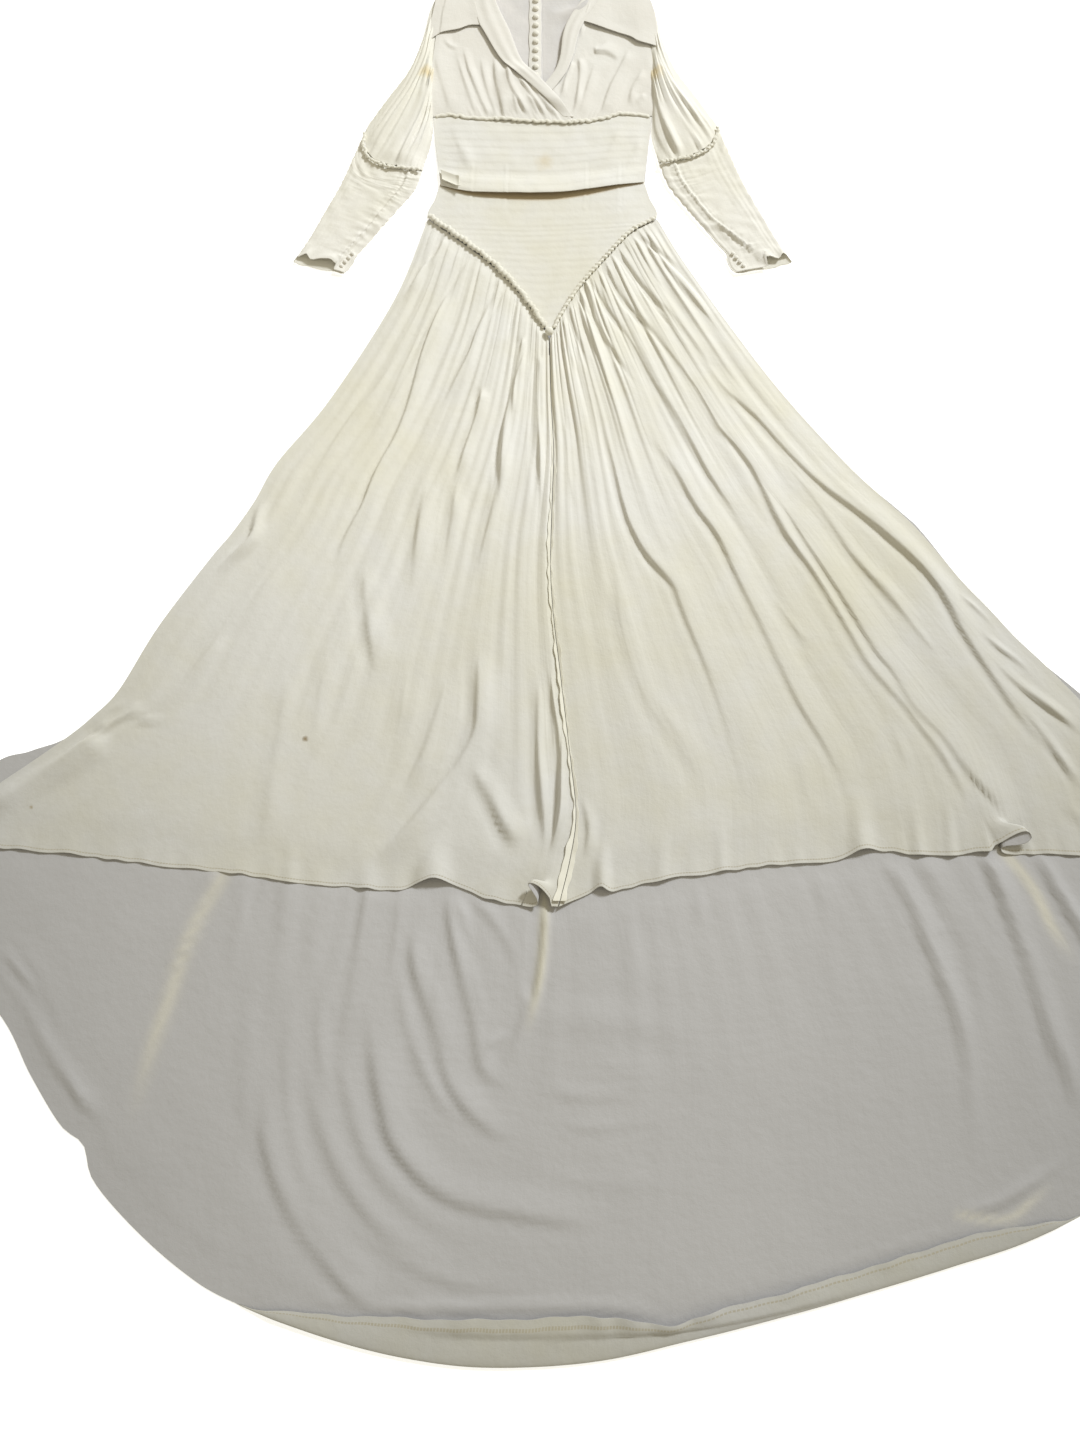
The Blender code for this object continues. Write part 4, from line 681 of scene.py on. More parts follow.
        # Stripes of another tone, and on the basque a painted shadow, where the attribute of this name says
        stripes_and_shade = node(tree, "ShaderNodeAttribute", attribute_name="stripes_and_shade")
        base = node(tree, "ShaderNodeMix", {7: (*srgb(stripe_and_shade_colour), 1)}, {0: stripes_and_shade.outputs["Fac"], 6: base.outputs[2]},
                    data_type="RGBA")
    tree.links.new(base.outputs[2], shader.inputs["Base Color"])
    # Crepe pebbles are 0.5 mm apart; here they are 1.6 mm so that they show
    pebbles = node(tree, "ShaderNodeTexNoise", {"Scale": 1 / 0.0016, "Detail": 1.0},
                   {"Vector": place.outputs["Object"]})
    fine = node(tree, "ShaderNodeBump", {"Strength": 0.55, "Distance": 0.00022}, {"Height": pebbles.outputs["Fac"]})
    crush = node(tree, "ShaderNodeTexNoise", {"Scale": 1 / 0.014, "Detail": 3.0, "Roughness": 0.6},
                 {"Vector": place.outputs["Object"]})
    soft = node(tree, "ShaderNodeBump", {"Strength": crushed, "Distance": 0.0012},
                {"Height": crush.outputs["Fac"], "Normal": fine.outputs["Normal"]})
    # The cloth is drawn in shallow streaks 20 mm wide and 0.3 m long, on top of the modelled ones
    laid = node(tree, "ShaderNodeUVMap", uv_map="cut")
    long = node(tree, "ShaderNodeVectorMath", {1: (1 / 0.020, 1 / 0.30, 0)}, {0: laid.outputs["UV"]},
                operation="MULTIPLY")
    pulled = node(tree, "ShaderNodeTexNoise", {"Scale": 1.0, "Detail": 3.0, "Roughness": 0.55},
                  {"Vector": long.outputs[0]})
    streaked = node(tree, "ShaderNodeBump", {"Strength": drawn, "Distance": 0.0035},
                    {"Height": pulled.outputs["Fac"], "Normal": soft.outputs["Normal"]})
    tree.links.new(streaked.outputs["Normal"], shader.inputs["Normal"])
    return made


def finishes():
    """The gown's materials by name, made at the first call."""
    colours = bpy.context.scene.gown_colours
    made = {m.name: m for m in bpy.data.materials}
    face, aged, inside = tuple(colours.face), tuple(colours.aged), tuple(colours.inside)
    recipes = {
        "rayon_crepe_face": lambda n: crepe(n, face, aged, [SPOTS["skirt"], SPOTS["side"]], True, 0.55, drawn=0.2),
        # On the basque the stripe colour is a painted shadow: the warm brown of the shade under the midriff's lower
        # edge
        "rayon_crepe_basque": lambda n: crepe(n, face, aged, stripe_and_shade_colour="#b79c68"),
        "rayon_crepe_bodice": lambda n: crepe(n, tuple(colours.bodice), face),
        "rayon_crepe_back": lambda n: crepe(n, tuple(colours.neck), inside),
        "rayon_crepe_waist": lambda n: crepe(n, face, aged, [SPOTS["waist"]]),
        "rayon_crepe_inside": lambda n: crepe(n, inside, tuple(0.96 * c for c in inside), falloff_left=0.77, drawn=0.15,
                                              stripe_and_shade_colour="#cfcab9"),
        "rayon_crepe_sleeve": lambda n: crepe(n, tuple(colours.sleeve), aged,
                                              [SPOTS["left armhole"], SPOTS["right armhole"]]),
        "rayon_crepe_button": lambda n: crepe(n, tuple(colours.sleeve), aged, crushed=0.1),
        "rayon_crepe_trim": lambda n: crepe(n, tuple(colours.trim), aged, crushed=0.2),
    }
    for name, recipe in recipes.items():
        if name not in made:
            made[name] = recipe(name)
    return made


def keep(name, mesh, wall=0.0):
    """Makes the object of a finished mesh, with this thickness, which stands for the CAD node of this name."""
    mesh.shade_smooth()
    piece = bpy.data.objects.new(f"{name}_cloth", mesh)
    bpy.context.scene.collection.objects.link(piece)
    if wall:
        thick = piece.modifiers.new("cloth", "SOLIDIFY")
        thick.thickness = wall
        thick.offset = -1
        thick.material_offset = 1 if len(mesh.materials) > 1 else 0
    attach(piece, "root")
    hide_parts(name)
    return piece


def to_edge(t, count, length):
    """Moves the outermost rows of an even grid to 0.7 mm from its edges, so that a thin edge looks crisp."""
    near = 0.0007 / length
    inner = near + (1 - 2 * near) * (t * count - 1) / (count - 2)
    return np.where(t * count < 0.5, 0.0, np.where((1 - t) * count < 0.5, 1.0, inner))


def gridded(name, columns, rows, place, faces, cut, edge=None, crisp="uv", stripes_and_shade=None):
    """A grid with its points at place(u, v), whose UV map is in metres of the cut cloth.

    crisp names the ways across which its outermost rows lie close to its edges. stripes_and_shade(points) is where it
    takes its stripe colour, which on the basque is a painted shadow.
    """
    mesh = bpy.data.meshes.new(name)
    bm = bmesh.new()
    bmesh.ops.create_grid(bm, x_segments=columns, y_segments=rows, size=0.5)
    bm.to_mesh(mesh)
    bm.free()
    flat = np.empty(len(mesh.vertices) * 3, np.float32)
    mesh.vertices.foreach_get("co", flat)
    flat = flat.reshape(-1, 3).astype(float)
    u, v = flat[:, 0] + 0.5, 0.5 - flat[:, 1]
    if "u" in crisp:
        u = to_edge(u, columns, cut[0])
    if "v" in crisp:
        v = to_edge(v, rows, cut[1])
    points = place(u, v)
    mesh.vertices.foreach_set("co", points.astype(np.float32).ravel())
    corners = np.empty(len(mesh.loops), np.int32)
    mesh.loops.foreach_get("vertex_index", corners)
    spots = np.stack([u * cut[0], v * cut[1]], -1)[corners]
    mesh.uv_layers.new(name="cut").data.foreach_set("uv", spots.astype(np.float32).ravel())
    far = edge(u, v) if edge else np.ones(len(u))
    mesh.attributes.new("from_edge", "FLOAT", "POINT").data.foreach_set("value", far.astype(np.float32))
    if stripes_and_shade:
        mesh.attributes.new("stripes_and_shade", "FLOAT", "POINT").data.foreach_set("value", stripes_and_shade(points).astype(np.float32))
    for finish in faces:
        mesh.materials.append(finishes()[finish])
    mesh.update()
    return mesh


def lay(name, columns, rows, place, faces, cut, edge=None, closed=False, stripes_and_shade=None):
    """Lays a grid of cloth on place(u, v), its upper or outer face, and gives it its thickness on the other side.

    faces are its materials, outer first. cut is its flat width and length. edge(u, v) is the distance to the edge that
    is stitched, and stripes_and_shade(points) tells where it takes its stripe colour, which on the basque is a painted
    shadow. A closed one meets itself after one turn of u.
    """
    mesh = gridded(name, columns, rows, place, faces, cut, edge, "v" if closed else "uv", stripes_and_shade)
    if closed:
        bm = bmesh.new()
        bm.from_mesh(mesh)
        bmesh.ops.remove_doubles(bm, verts=bm.verts, dist=1e-5)
        bmesh.ops.recalc_face_normals(bm, faces=bm.faces)
        bm.to_mesh(mesh)
        bm.free()
    elif sum(p.normal.z for p in mesh.polygons) < 0:
        mesh.flip_normals()
    piece = keep(name, mesh, bpy.context.scene.gown_cut.wall)
    return piece


def body(side, half, y):
    """The plan point at this distance to one side of the middle of the body."""
    return (BODY_X + side * half, y)


def basque_level(x, y):
    """Upper face of the basque and of the skirt's top edge."""
    reach = HALF_WAIST + (HALF_HIP - HALF_WAIST) * smooth((WAIST_Y - y) / (WAIST_Y - HIP_Y))
    return FRONT_TOP + EASE * smooth((reach - np.abs(x - BODY_X)) / 0.05)


def hem_wave(x, v):
    """Height of the waves that lift the front hem, at x and at v down the skirt."""
    rise = sum(height * (1 - smooth(np.abs(x - middle) / reach)) for middle, height, reach in HEM_WAVES)
    return rise * smooth((v - 0.91) / 0.09)


def scallop(x):
    """How a narrow hem curls along its length, from -1 to 1."""
    return 0.6 * np.sin(x * 152 + 2.2 * np.sin(x * 37)) + 0.4 * np.sin(x * 88 + 1.5 * np.sin(x * 21) + 1.0)


def down_skirt(v):
    """Share of the front skirt's length at each share of its rows, which lie closer together at the seam."""
    return 0.66 * v + 0.34 * v**2


def skirt_front(side, label):
    """A front half of the skirt, gathered along the pointed seam."""
    cut = bpy.context.scene.gown_cut
    gap = side * 0.0008
    centre = smooth_line([(x + gap, y) for x, y in CENTRE_FRONT])
    hem = smooth_line([*FRONT_HEM[side][:-1], (HEM_FRONT[0] + gap, HEM_FRONT[1])])
    tip = (TIP[0] + side * 0.0010, TIP[1])
    plan = patch(smooth_line([*POINTED_SEAM[side][:-1], tip]), hem, smooth_line(SKIRT_SIDE[side]), centre)
    pleat_start, pleat_end, way = HEM_PLEATS[side]
    edge_way = smooth_line(way)

    def height(u, down, spots):
        x, y = spots.T
        ends = smooth(u / 0.05) * smooth((1 - u) / 0.02)
        start = basque_level(*plan(u, np.zeros_like(u)).T)
        base = start + (FRONT_TOP + 0.9 * EASE * smooth(u / 0.06) - start) * smooth(down / 0.2)
        base = base - 0.0022 * smooth((down - 0.93) / 0.07) * smooth(u / 0.06)
        deep = cut.gather * (1.0 if side < 0 else 1.6)
        ruched = deep * gathers(u, down, 26, 7 + side, 0.30, 0.04, side) * (0.12 + 0.88 * smooth(down / 0.03))
        broad = 0.0030 * gathers(u, down, 11, 21 + side, 1.4, 0.35, 0.5 * side) * smooth(down / 0.2)
        calm = 1 - (0.80 if side > 0 else 0.55) * smooth((down - 0.22) / 0.45)
        fine = (0.0023 if side < 0 else 0.0015) * streaks(u, down, 9, 26, 31 + side) * calm
        fine *= 0.5 + 0.5 * smooth(down / 0.15)
        soft = 0.00025 * ripples(x, y, 0.035, 41 + side)
        folds = cut.fold * SKIRT_FOLD_SCALE[side] * fold_heights(x, y, SKIRT_FOLDS[side])
        ridge = np.maximum(folds, 0)
        rise = np.cbrt((ruched + broad) ** 3 + ridge**3) + folds - ridge
        rise -= np.minimum(troughs(x, y, SEAM_TROUGHS[side]), 0.8 * (ruched + ridge))
        settle = 1 - 0.6 * smooth((down - 0.92) / 0.08)
        curled = 0.0009 * (1 + scallop(x)) * smooth((down - 0.955) / 0.045)
        rise = np.maximum(-0.0012, rise * settle + fine + soft) + curled
        return base + rise * ends + hem_wave(x, down) * smooth(u / 0.05)

    def place(u, v):
        u = np.interp(u, *COLUMN_SHARES[side])
        down = down_skirt(v)
        spots = plan(u, down)
        spots[:, 1] += 0.0012 * scallop(spots[:, 0] + 0.4) * smooth((down - 0.97) / 0.03) * smooth(u / 0.05)
        points = lift(spots, height(u, down, spots))
        share = (u - pleat_start) / (pleat_end - pleat_start)
        within = (share > 0) & (share < 1)
        lowest = np.ones(within.sum())
        base = lift(hem(u[within]), height(u[within], lowest, hem(u[within])))
        fade = smooth((down[within] - 0.955) / 0.045)[:, None]
        ends = smooth(np.minimum(share, 1 - share)[within] / 0.02)[:, None]
        points[within] += (edge_way(share[within]) - base) * fade * ends
        return points

    def from_hem(u, v):
        return (1 - down_skirt(v)) * FRONT_LENGTH

    lay(f"skirt_front_{label}", 274, 156, place, ["rayon_crepe_face", "rayon_crepe_inside"],
        (0.95, 1.02), from_hem)


# Share of the back's rows that lie above its turned hem
TURN_SHARE = 0.84
# Rows of the turned hem: how far each has come in over the train, as a share of its width, and its height
TURN_ROWS = [(0.16, 0.0014), (0.05, 0.0013), (-0.02, 0.0020), (-0.045, 0.0033), (-0.02, 0.0046), (0.08, 0.0054),
             (0.30, 0.0058), (0.52, 0.0058), (0.76, 0.0056), (1.0, 0.0050)]
# A crease along the turned hem: x, y
TURN_CREASE = [(-0.200, -1.024), (-0.100, -1.032), (0.024, -1.034), (0.167, -1.028), (0.311, -1.004), (0.420, -0.978)]
# Places where the edge of the turned hem lifts: x, height and half length
TURN_LIFTS = [(0.066, 0.0040, 0.022), (0.106, 0.0050, 0.028), (0.150, 0.0050, 0.032), (0.196, 0.0040, 0.022),
              (0.300, 0.0020, 0.018), (0.420, 0.0020, 0.020), (-0.100, 0.0020, 0.020)]
# How far the hem is turned back, by the x of its fold: none at the sides, 51 mm in the middle
TURN_WIDTHS = [(-0.36, 0.0), (-0.29, 0.016), (-0.20, 0.036), (-0.10, 0.049), (0.00, 0.051), (0.05, 0.049),
               (0.08, 0.046), (0.12, 0.033), (0.15, 0.018), (0.19, 0.025), (0.29, 0.025), (0.37, 0.026),
               (0.44, 0.025), (0.51, 0.027), (0.58, 0.020), (0.63, 0.007), (0.66, 0.0)]

# Cream stripes of the train: points, half width and strength
TRAIN_STRIPES = [
    ([(-0.405, -0.460), (-0.420, -0.495), (-0.446, -0.546), (-0.461, -0.589), (-0.474, -0.646), (-0.489, -0.695),
      (-0.503, -0.760), (-0.512, -0.810)], 0.009, 0.55),
    ([(0.600, -0.440), (0.621, -0.466), (0.649, -0.509), (0.668, -0.559), (0.697, -0.607)], 0.007, 0.7),
    ([(0.006, -0.490), (0.005, -0.560), (0.001, -0.610), (-0.009, -0.660), (-0.019, -0.700)], 0.006, 0.9),
    ([(0.500, -0.900), (0.565, -0.908), (0.600, -0.888), (0.636, -0.862)], 0.005, 0.5),
]


def turn_width(x):
    """Width of the turned hem where its fold is at x."""
    wave = 0.0008 * np.sin(x * 61) + 0.0006 * np.sin(x * 143 + 1.0)
    near = [np.interp(x + shift, *zip(*TURN_WIDTHS)) for shift in (-0.020, -0.010, 0.0, 0.010, 0.020)]
    full = sum(near) / len(near)
    return full + wave * smooth(full / 0.02)


def skirt_back():
    """The back of the skirt, cut in one with the train, with its hem turned back over its inside."""
    edge = smooth_line(TRAIN_EDGE)
    sides = [smooth_line(BACK_SIDE[side]) for side in (-1, 1)]
    plan = patch(smooth_line([BACK_SIDE[-1][0], BACK_SIDE[1][0]]), edge, *sides)
    fold = bpy.context.scene.gown_cut.fold

    def flat(u, down):
        spots = plan(u, down)
        x, y = spots.T
        clear = smooth((-0.455 - 0.070 * np.maximum(0, 1 - np.abs(x - 0.010) / 0.50) - y) / 0.03)
        settled = off_ends(u, 0.010) * (1 - smooth((down - 0.968) / 0.016))
        rise = fold * fold_heights(x, y, TRAIN_FOLDS) + 0.00045 * (1 + ripples(x, y, 0.045, 3))
        rise = rise + 0.0009 * (0.5 + streaks(u, down, 18, 60, 5)) * (1 - 0.8 * smooth((down - 0.70) / 0.2))
        drawn_up = bell(x - 0.080, 0.085) * bell(y + 0.690, 0.085)
        rise = rise + 0.0022 * drawn_up * (1 + ripples(0.22 * x, y + 0.15 * np.abs(x), 0.034, 13))
        rise = rise + 0.00010 * (1 + np.sin(y * 420 + 6 * np.sin(x * 9) + 2 * np.sin(x * 31)))
        return lift(spots, BACK_TOP + np.maximum(0, rise) * settled * clear)

    def place(u, v):
        u = np.interp(u, [0, 0.20, 0.58, 1], [0, 0.28, 0.57, 1])
        points = flat(u, np.interp(v, [0, 0.06, TURN_SHARE, 1], [0.0, 0.50, 0.985, 0.985]))
        turn = np.clip((v - TURN_SHARE) / (1 - TURN_SHARE), 0, 1) * (len(TURN_ROWS) - 1)
        come, level = (np.interp(turn, np.arange(len(TURN_ROWS)), column) for column in zip(*TURN_ROWS))
        fold_line = edge(u)
        x = fold_line[:, 0]
        inward = plan(u, np.full_like(u, 0.94)) - fold_line
        inward /= np.linalg.norm(inward, axis=1)[:, None]
        wide = turn_width(x)
        turned = smooth(wide / 0.010)
        reach = turned * come * np.maximum(wide, 0.004) + (1 - turned) * 0.0006 * (1 - turn / (len(TURN_ROWS) - 1))
        spots = fold_line + inward * reach[:, None]
        off, share = beside(*spots.T, smooth_line(TURN_CREASE)(np.linspace(0, 1, 24)))
        crease = 0.0030 * smooth(off / 0.004 + 0.5) * smooth(share / 0.2) * smooth((1 - share) / 0.2)
        wavy = sum(high * (1 - smooth(np.abs(x - at) / half)) for at, high, half in TURN_LIFTS)
        wavy = wavy * smooth((come - 0.4) / 0.6)
        top = smooth((turn - 4) / 2)
        rolled = level * turned + BACK_TOP * (1 - turned)
        rolled = rolled + top * turned * (crease + wavy + 0.0004 * ripples(*spots.T, 0.02, 9))
        return np.where((v > TURN_SHARE)[:, None], lift(spots, rolled), points)

    def stripes_and_shade(points):
        total = np.zeros(len(points))
        for line, half, strength in TRAIN_STRIPES:
            off, share = beside(points[:, 0], points[:, 1], smooth_line(line)(np.linspace(0, 1, 16)))
            ends = smooth(share / 0.1) * smooth((1 - share) / 0.4)
            total = np.maximum(total, strength * bell(off, half) * ends)
        return total

    def from_turned(u, v):
        return np.where(v > TURN_SHARE, (1 - v) / (1 - TURN_SHARE) * 0.045, 1.0)

    lay("skirt_back", 260, 164, place, BACK_FACES, (1.76, 1.66),
        from_turned, stripes_and_shade=stripes_and_shade)


def back_top(side):
    """Top edge of the back bodice, from the tip of the shoulder to the nape."""
    return smooth_line([body(side, HALF_SHOULDER - 0.001, SHOULDER_Y - 0.002), body(side, HALF_NECK, NECK_Y - 0.0035),
                        body(side, 0.045, 1.018), body(side, 0.0, NAPE_Y)])


def back_bodice(side, label):
    """A back half of the bodice, which shows its inside through the neckline, and the basque below it."""
    middle = BODY_X + side * 0.0003
    waist = (middle, WAIST_Y)
    top = back_top(side)
    sides = smooth_line([top(0.0), body(side, 0.1745, 0.875), body(side, HALF_UNDERARM - 0.001, UNDERARM_Y),
                         body(side, HALF_UNDERBUST, UNDERBUST_Y), body(side, HALF_WAIST, WAIST_Y)])
    plan = patch(top, smooth_line([sides(1.0), waist]), sides, smooth_line([top(1.0), waist]))

    def place(u, v):
        spots = plan(u, v)
        x, y = spots.T
        rise = 0.0006 * (1 + ripples(x, y, 0.03, 61 + side))
        if side > 0:
            rise = rise + fold_heights(x, y, [([(0.090, 0.985), (0.066, 0.953), (0.036, 0.942), (0.012, 0.950)],
                                               0.0085, 0.010, 0.030, 0.1, 0.4)])
        return lift(spots, BACK_TOP + np.maximum(0, rise) * off_ends(u, 0.08))

    lay(f"bodice_back_{label}", 44, 60, place, ["rayon_crepe_back", "rayon_crepe_face"],
        (0.18, 0.44))
    high = smooth_line([body(side, HALF_WAIST, WAIST_Y - 0.0006), (middle, WAIST_Y - 0.0006)])
    low = smooth_line([body(side, HALF_HIP, HIP_Y - 0.003), (middle, HIP_Y - 0.003)])
    hips = patch(high, low, smooth_line([high(0.0), low(0.0)]), smooth_line([high(1.0), low(1.0)]))
    lay(f"basque_back_{label}", 40, 16, lambda u, v: lift(hips(u, v), BACK_TOP), BACK_FACES,
        (0.17, 0.056))


def tucks(share, rows, height):
    """Rows of pressed tucks: each rises slowly and falls quickly."""
    part = np.mod(share * rows, 1.0)
    return height * smooth(part / 0.7) * (1 - smooth((part - 0.76) / 0.2))


def darts(x, y, reach):
    """Height of the darts that cross the waist, each a ridge beside a groove, up to this far from the waist."""
    rise = np.zeros(len(x))
    for middle in DARTS:
        lean = middle + 0.02 * (y - WAIST_Y)
        down = smooth((reach - np.abs(y - WAIST_Y)) / 0.02)
        rise += 0.0005 * down * (bell(x - lean, 0.0015) - 0.8 * bell(x - lean - 0.003, 0.0018))
    return rise


def side_rise(u, height):
    """How far a front panel has risen from its two side seams, up to this height."""
    return height * off_ends(u, 0.16)


def seam_wave(x):
    """How far the seam under the bust wanders from its straight line at x."""
    xs, ys = np.array(UNDERBUST_SEAM).T
    return np.interp(x, xs, ys) - UNDERBUST_Y


# Creases of the midriff, written as the skirt's folds are
MIDRIFF_CREASES = [
    ([(-0.148, 0.716), (-0.135, 0.680), (-0.120, 0.640), (-0.110, 0.612)], 0.0013, 0.008, 0.016, 0.3, 0.3),
    ([(0.128, 0.712), (0.112, 0.670), (0.090, 0.622)], 0.0011, 0.008, 0.018, 0.3, 0.4),
    ([(0.160, 0.690), (0.146, 0.652), (0.130, 0.612)], 0.0012, 0.008, 0.016, 0.3, 0.4),
]
# Lower edge of the midriff: side, distance from the middle and y
MIDRIFF_LOW = [(-1, HALF_WAIST, 0.594), (-1, 0.130, 0.583), (-1, 0.098, 0.577), (1, 0.0, 0.574), (1, 0.060, 0.580),
               (1, HALF_WAIST, 0.600)]


def midriff():
    """The band between the bust and the waist, with rows of tucks, whose lower edge stands off the basque."""
    top = smooth_line([body(-1, HALF_UNDERBUST, UNDERBUST_Y), body(1, HALF_UNDERBUST, UNDERBUST_Y)])
    low = smooth_line([body(*spot) for spot in MIDRIFF_LOW])
    left = smooth_line([top(0.0), body(-1, 0.170, 0.664), low(0.0)])
    right = smooth_line([top(1.0), body(1, 0.168, 0.664), low(1.0)])
    plan = patch(top, low, left, right)
    height = bpy.context.scene.gown_cut.tuck

    def level(u, v):
        clear = 0.0022 * smooth((v - 0.72) / 0.12) + 0.0056 * smooth((v - 0.74) / 0.26) * np.sin(np.pi * u) ** 0.8
        return FRONT_TOP + side_rise(u, EASE) + clear

    def place(u, v):
        spots = plan(u, v)
        x = spots[:, 0]
        spots[:, 1] += seam_wave(x) * (1 - smooth(v / 0.12))
        below = (1 - smooth(v / 0.02)) * off_ends(u, 0.05)
        spots[:, 1] += 0.0045 * below
        y = spots[:, 1]
        rise = tucks(v + 0.006 * np.sin(9 * u), 10, height) * (0.7 + 0.4 * ripples(x, 4 * y, 0.06, 73))
        rise += 0.0004 * ripples(x, y, 0.02, 71)
        rise += fold_heights(x, y, MIDRIFF_CREASES) + darts(x, y, 0.058) * smooth((0.645 - y) / 0.01)
        return lift(spots, level(u, v) + rise * off_ends(u, 0.05) - 0.0017 * below)

    lay("midriff_front", 120, 90, place, ["rayon_crepe_waist", "rayon_crepe_inside"],
        (0.352, 0.160))

    def tab(u, v):
        across, down = 0.010 + 0.092 * u, 0.785 + 0.055 * u + 0.150 * v
        spots = plan(across, down)
        curl = 0.0012 * (2 * v - 1) ** 2 + 0.0010 * smooth((u - 0.8) / 0.2)
        return lift(spots, level(across, down) + 0.0026 + 1.6 * curl)

    lay("waist_tab", 24, 18, tab, ["rayon_crepe_trim"], (0.032, 0.022))


def basque():
    """The pointed basque, with rows of tucks that bow with the waist."""
    edges = []
    for side in (-1, 1):
        seam = [(x - side * 0.0010, y + 0.0040) for x, y in POINTED_SEAM[side][:-1]]
        edges.append(smooth_line([body(side, HALF_WAIST, 0.603), body(side, 0.168, 0.572), *seam,
                                  (TIP[0] + side * 0.0010, TIP[1] + 0.010)]))
    height = 0.8 * bpy.context.scene.gown_cut.tuck

    def place(u, v):
        spots = edges[0](v) * (1 - u)[:, None] + edges[1](v) * u[:, None]
        spots[:, 1] -= 0.010 * np.sin(np.pi * u) * (1 - v)
        x, y = spots.T
        inset = np.minimum(u, 1 - u) * (1 - 0.8 * v)
        rise = tucks(v + 0.003 * np.sin(11 * u), 20, height) * (0.8 + 0.4 * ripples(x, 4 * y, 0.06, 83))
        rise += darts(x, y, 0.056) + 0.0003 * ripples(x, y, 0.02, 81)
        return lift(spots, basque_level(x, y) + rise * smooth(inset / 0.04))

    low = smooth_line([body(*spot) for spot in MIDRIFF_LOW])(np.linspace(0, 1, 40))

    # Painted shadow: a warm brown band on the basque along the midriff's lower edge, widest in the middle
    def painted_shade_below_midriff(points):
        x, y = points[:, 0], points[:, 1]
        share = np.clip((x - low[0, 0]) / (low[-1, 0] - low[0, 0]), 0, 1)
        reach = 0.002 + 0.009 * np.sin(np.pi * share) ** 0.8
        return 0.75 * smooth((y - np.interp(x, *low.T) + reach) / 0.005)

    lay("basque_front", 100, 110, place, ["rayon_crepe_basque", "rayon_crepe_inside"],
        (0.36, 0.31), stripes_and_shade=painted_shade_below_midriff)


# How much higher the left front lies where it crosses the right one
CROSSOVER = 0.0060


def bodice_surface(side):
    """Plan and level of a front bodice: u from the side to the neckline, v from the shoulder down."""
    foot = UNDERBUST_Y + 0.0015
    shoulder = smooth_line([body(side, HALF_SHOULDER, SHOULDER_Y), NECKLINE[side][0]])
    sides = smooth_line([body(side, HALF_SHOULDER, SHOULDER_Y), body(side, 0.1758, 0.875),
                         body(side, HALF_UNDERARM, UNDERARM_Y), body(side, HALF_UNDERBUST, foot)])
    seam = smooth_line([body(side, HALF_UNDERBUST, foot), NECKLINE[side][-1]])
    plan = patch(shoulder, seam, sides, smooth_line(NECKLINE[side]))

    def level(u, v, spots):
        x, y = spots.T
        armhole = np.sin(np.pi * np.minimum(1.0, v)) ** 0.6 * (1 - smooth(u / 0.25))
        rise = EASE * smooth(u / 0.22) + 0.0042 * armhole
        if side < 0:
            crossed = smooth((x + 0.080) / 0.03) * smooth((0.835 - y) / 0.03)
            rise = rise + CROSSOVER * crossed * (1 - 0.85 * smooth((v - 0.88) / 0.10))
        return FRONT_TOP + rise

    return plan, level


def bodice_front(side, label):
    """A front of the bodice, with its gathers over the seam under the bust."""
    plan, level = bodice_surface(side)

    def place(u, v):
        spots = plan(u, v)
        x = spots[:, 0]
        spots[:, 1] += seam_wave(x) * smooth((v - 0.9) / 0.1)
        y = spots[:, 1]
        rise = BUST_FOLD_SCALE[side] * fold_heights(x, y, BUST_FOLDS[side])
        rise += 0.00035 * (1 + ripples(x, y, 0.022, 91 + side))
        pinch = 0.0012 * gathers(u, 1 - v, 30, 97 + side, 0.12, 0.0)
        rise += pinch * smooth((u - 0.2) / 0.1)
        if side > 0:
            rise = np.maximum(rise, fold_heights(x, y, FACING_FOLDS))
        rise *= smooth(u / 0.06) * (1 - 0.5 * smooth((v - 0.97) / 0.03))
        return lift(spots, level(u, v, spots) + rise)

    lay(f"bodice_front_{label}", 100, 92, place, BODICE_FACES,
        (0.26, 0.32))


# Folds of the facing that turns out beside the right neckline
FACING_FOLDS = [
    ([(0.078, 0.980), (0.060, 0.930), (0.048, 0.880), (0.036, 0.830)], 0.0060, 0.006, 0.010, 0.2, 0.2),
    ([(0.092, 0.985), (0.072, 0.930), (0.062, 0.880)], 0.0050, 0.005, 0.008, 0.2, 0.3),
    ([(0.068, 0.975), (0.048, 0.915), (0.040, 0.860)], 0.0040, 0.004, 0.007, 0.2, 0.3),
]


def neck_band(side, label):
    """The band that finishes the neckline, with the left one over the right one where they cross."""
    plan, level = bodice_surface(side)

    def place(u, v):
        share = np.interp(v, BAND_AT, BAND_SHARE[side])
        across = 1 - share * (1 - u)
        spots = plan(across, v)
        flat = 1 - (0.75 * smooth((v - 0.90) / 0.10) if side < 0 else 0.95 * smooth((v - 0.84) / 0.08))
        crown = 0.0016 * np.sin(np.pi * u) ** 0.6 * flat
        lines = 0.0004 * np.sin(u * 13 + 2.0 * np.sin(3 * v)) * smooth((share - 0.1) / 0.1)
        over = (0.0030 if side < 0 else 0.0026) * flat
        lift_up = 0.0016 * smooth((v - 0.25) / 0.15) * (1 - smooth((v - 0.62) / 0.2)) * (1 - u)
        return lift(spots, level(across, v, spots) + over + crown + lines + lift_up)

    lay(f"neck_band_{label}", 20, 90, place, BODICE_FACES,
        (0.036, 0.33))


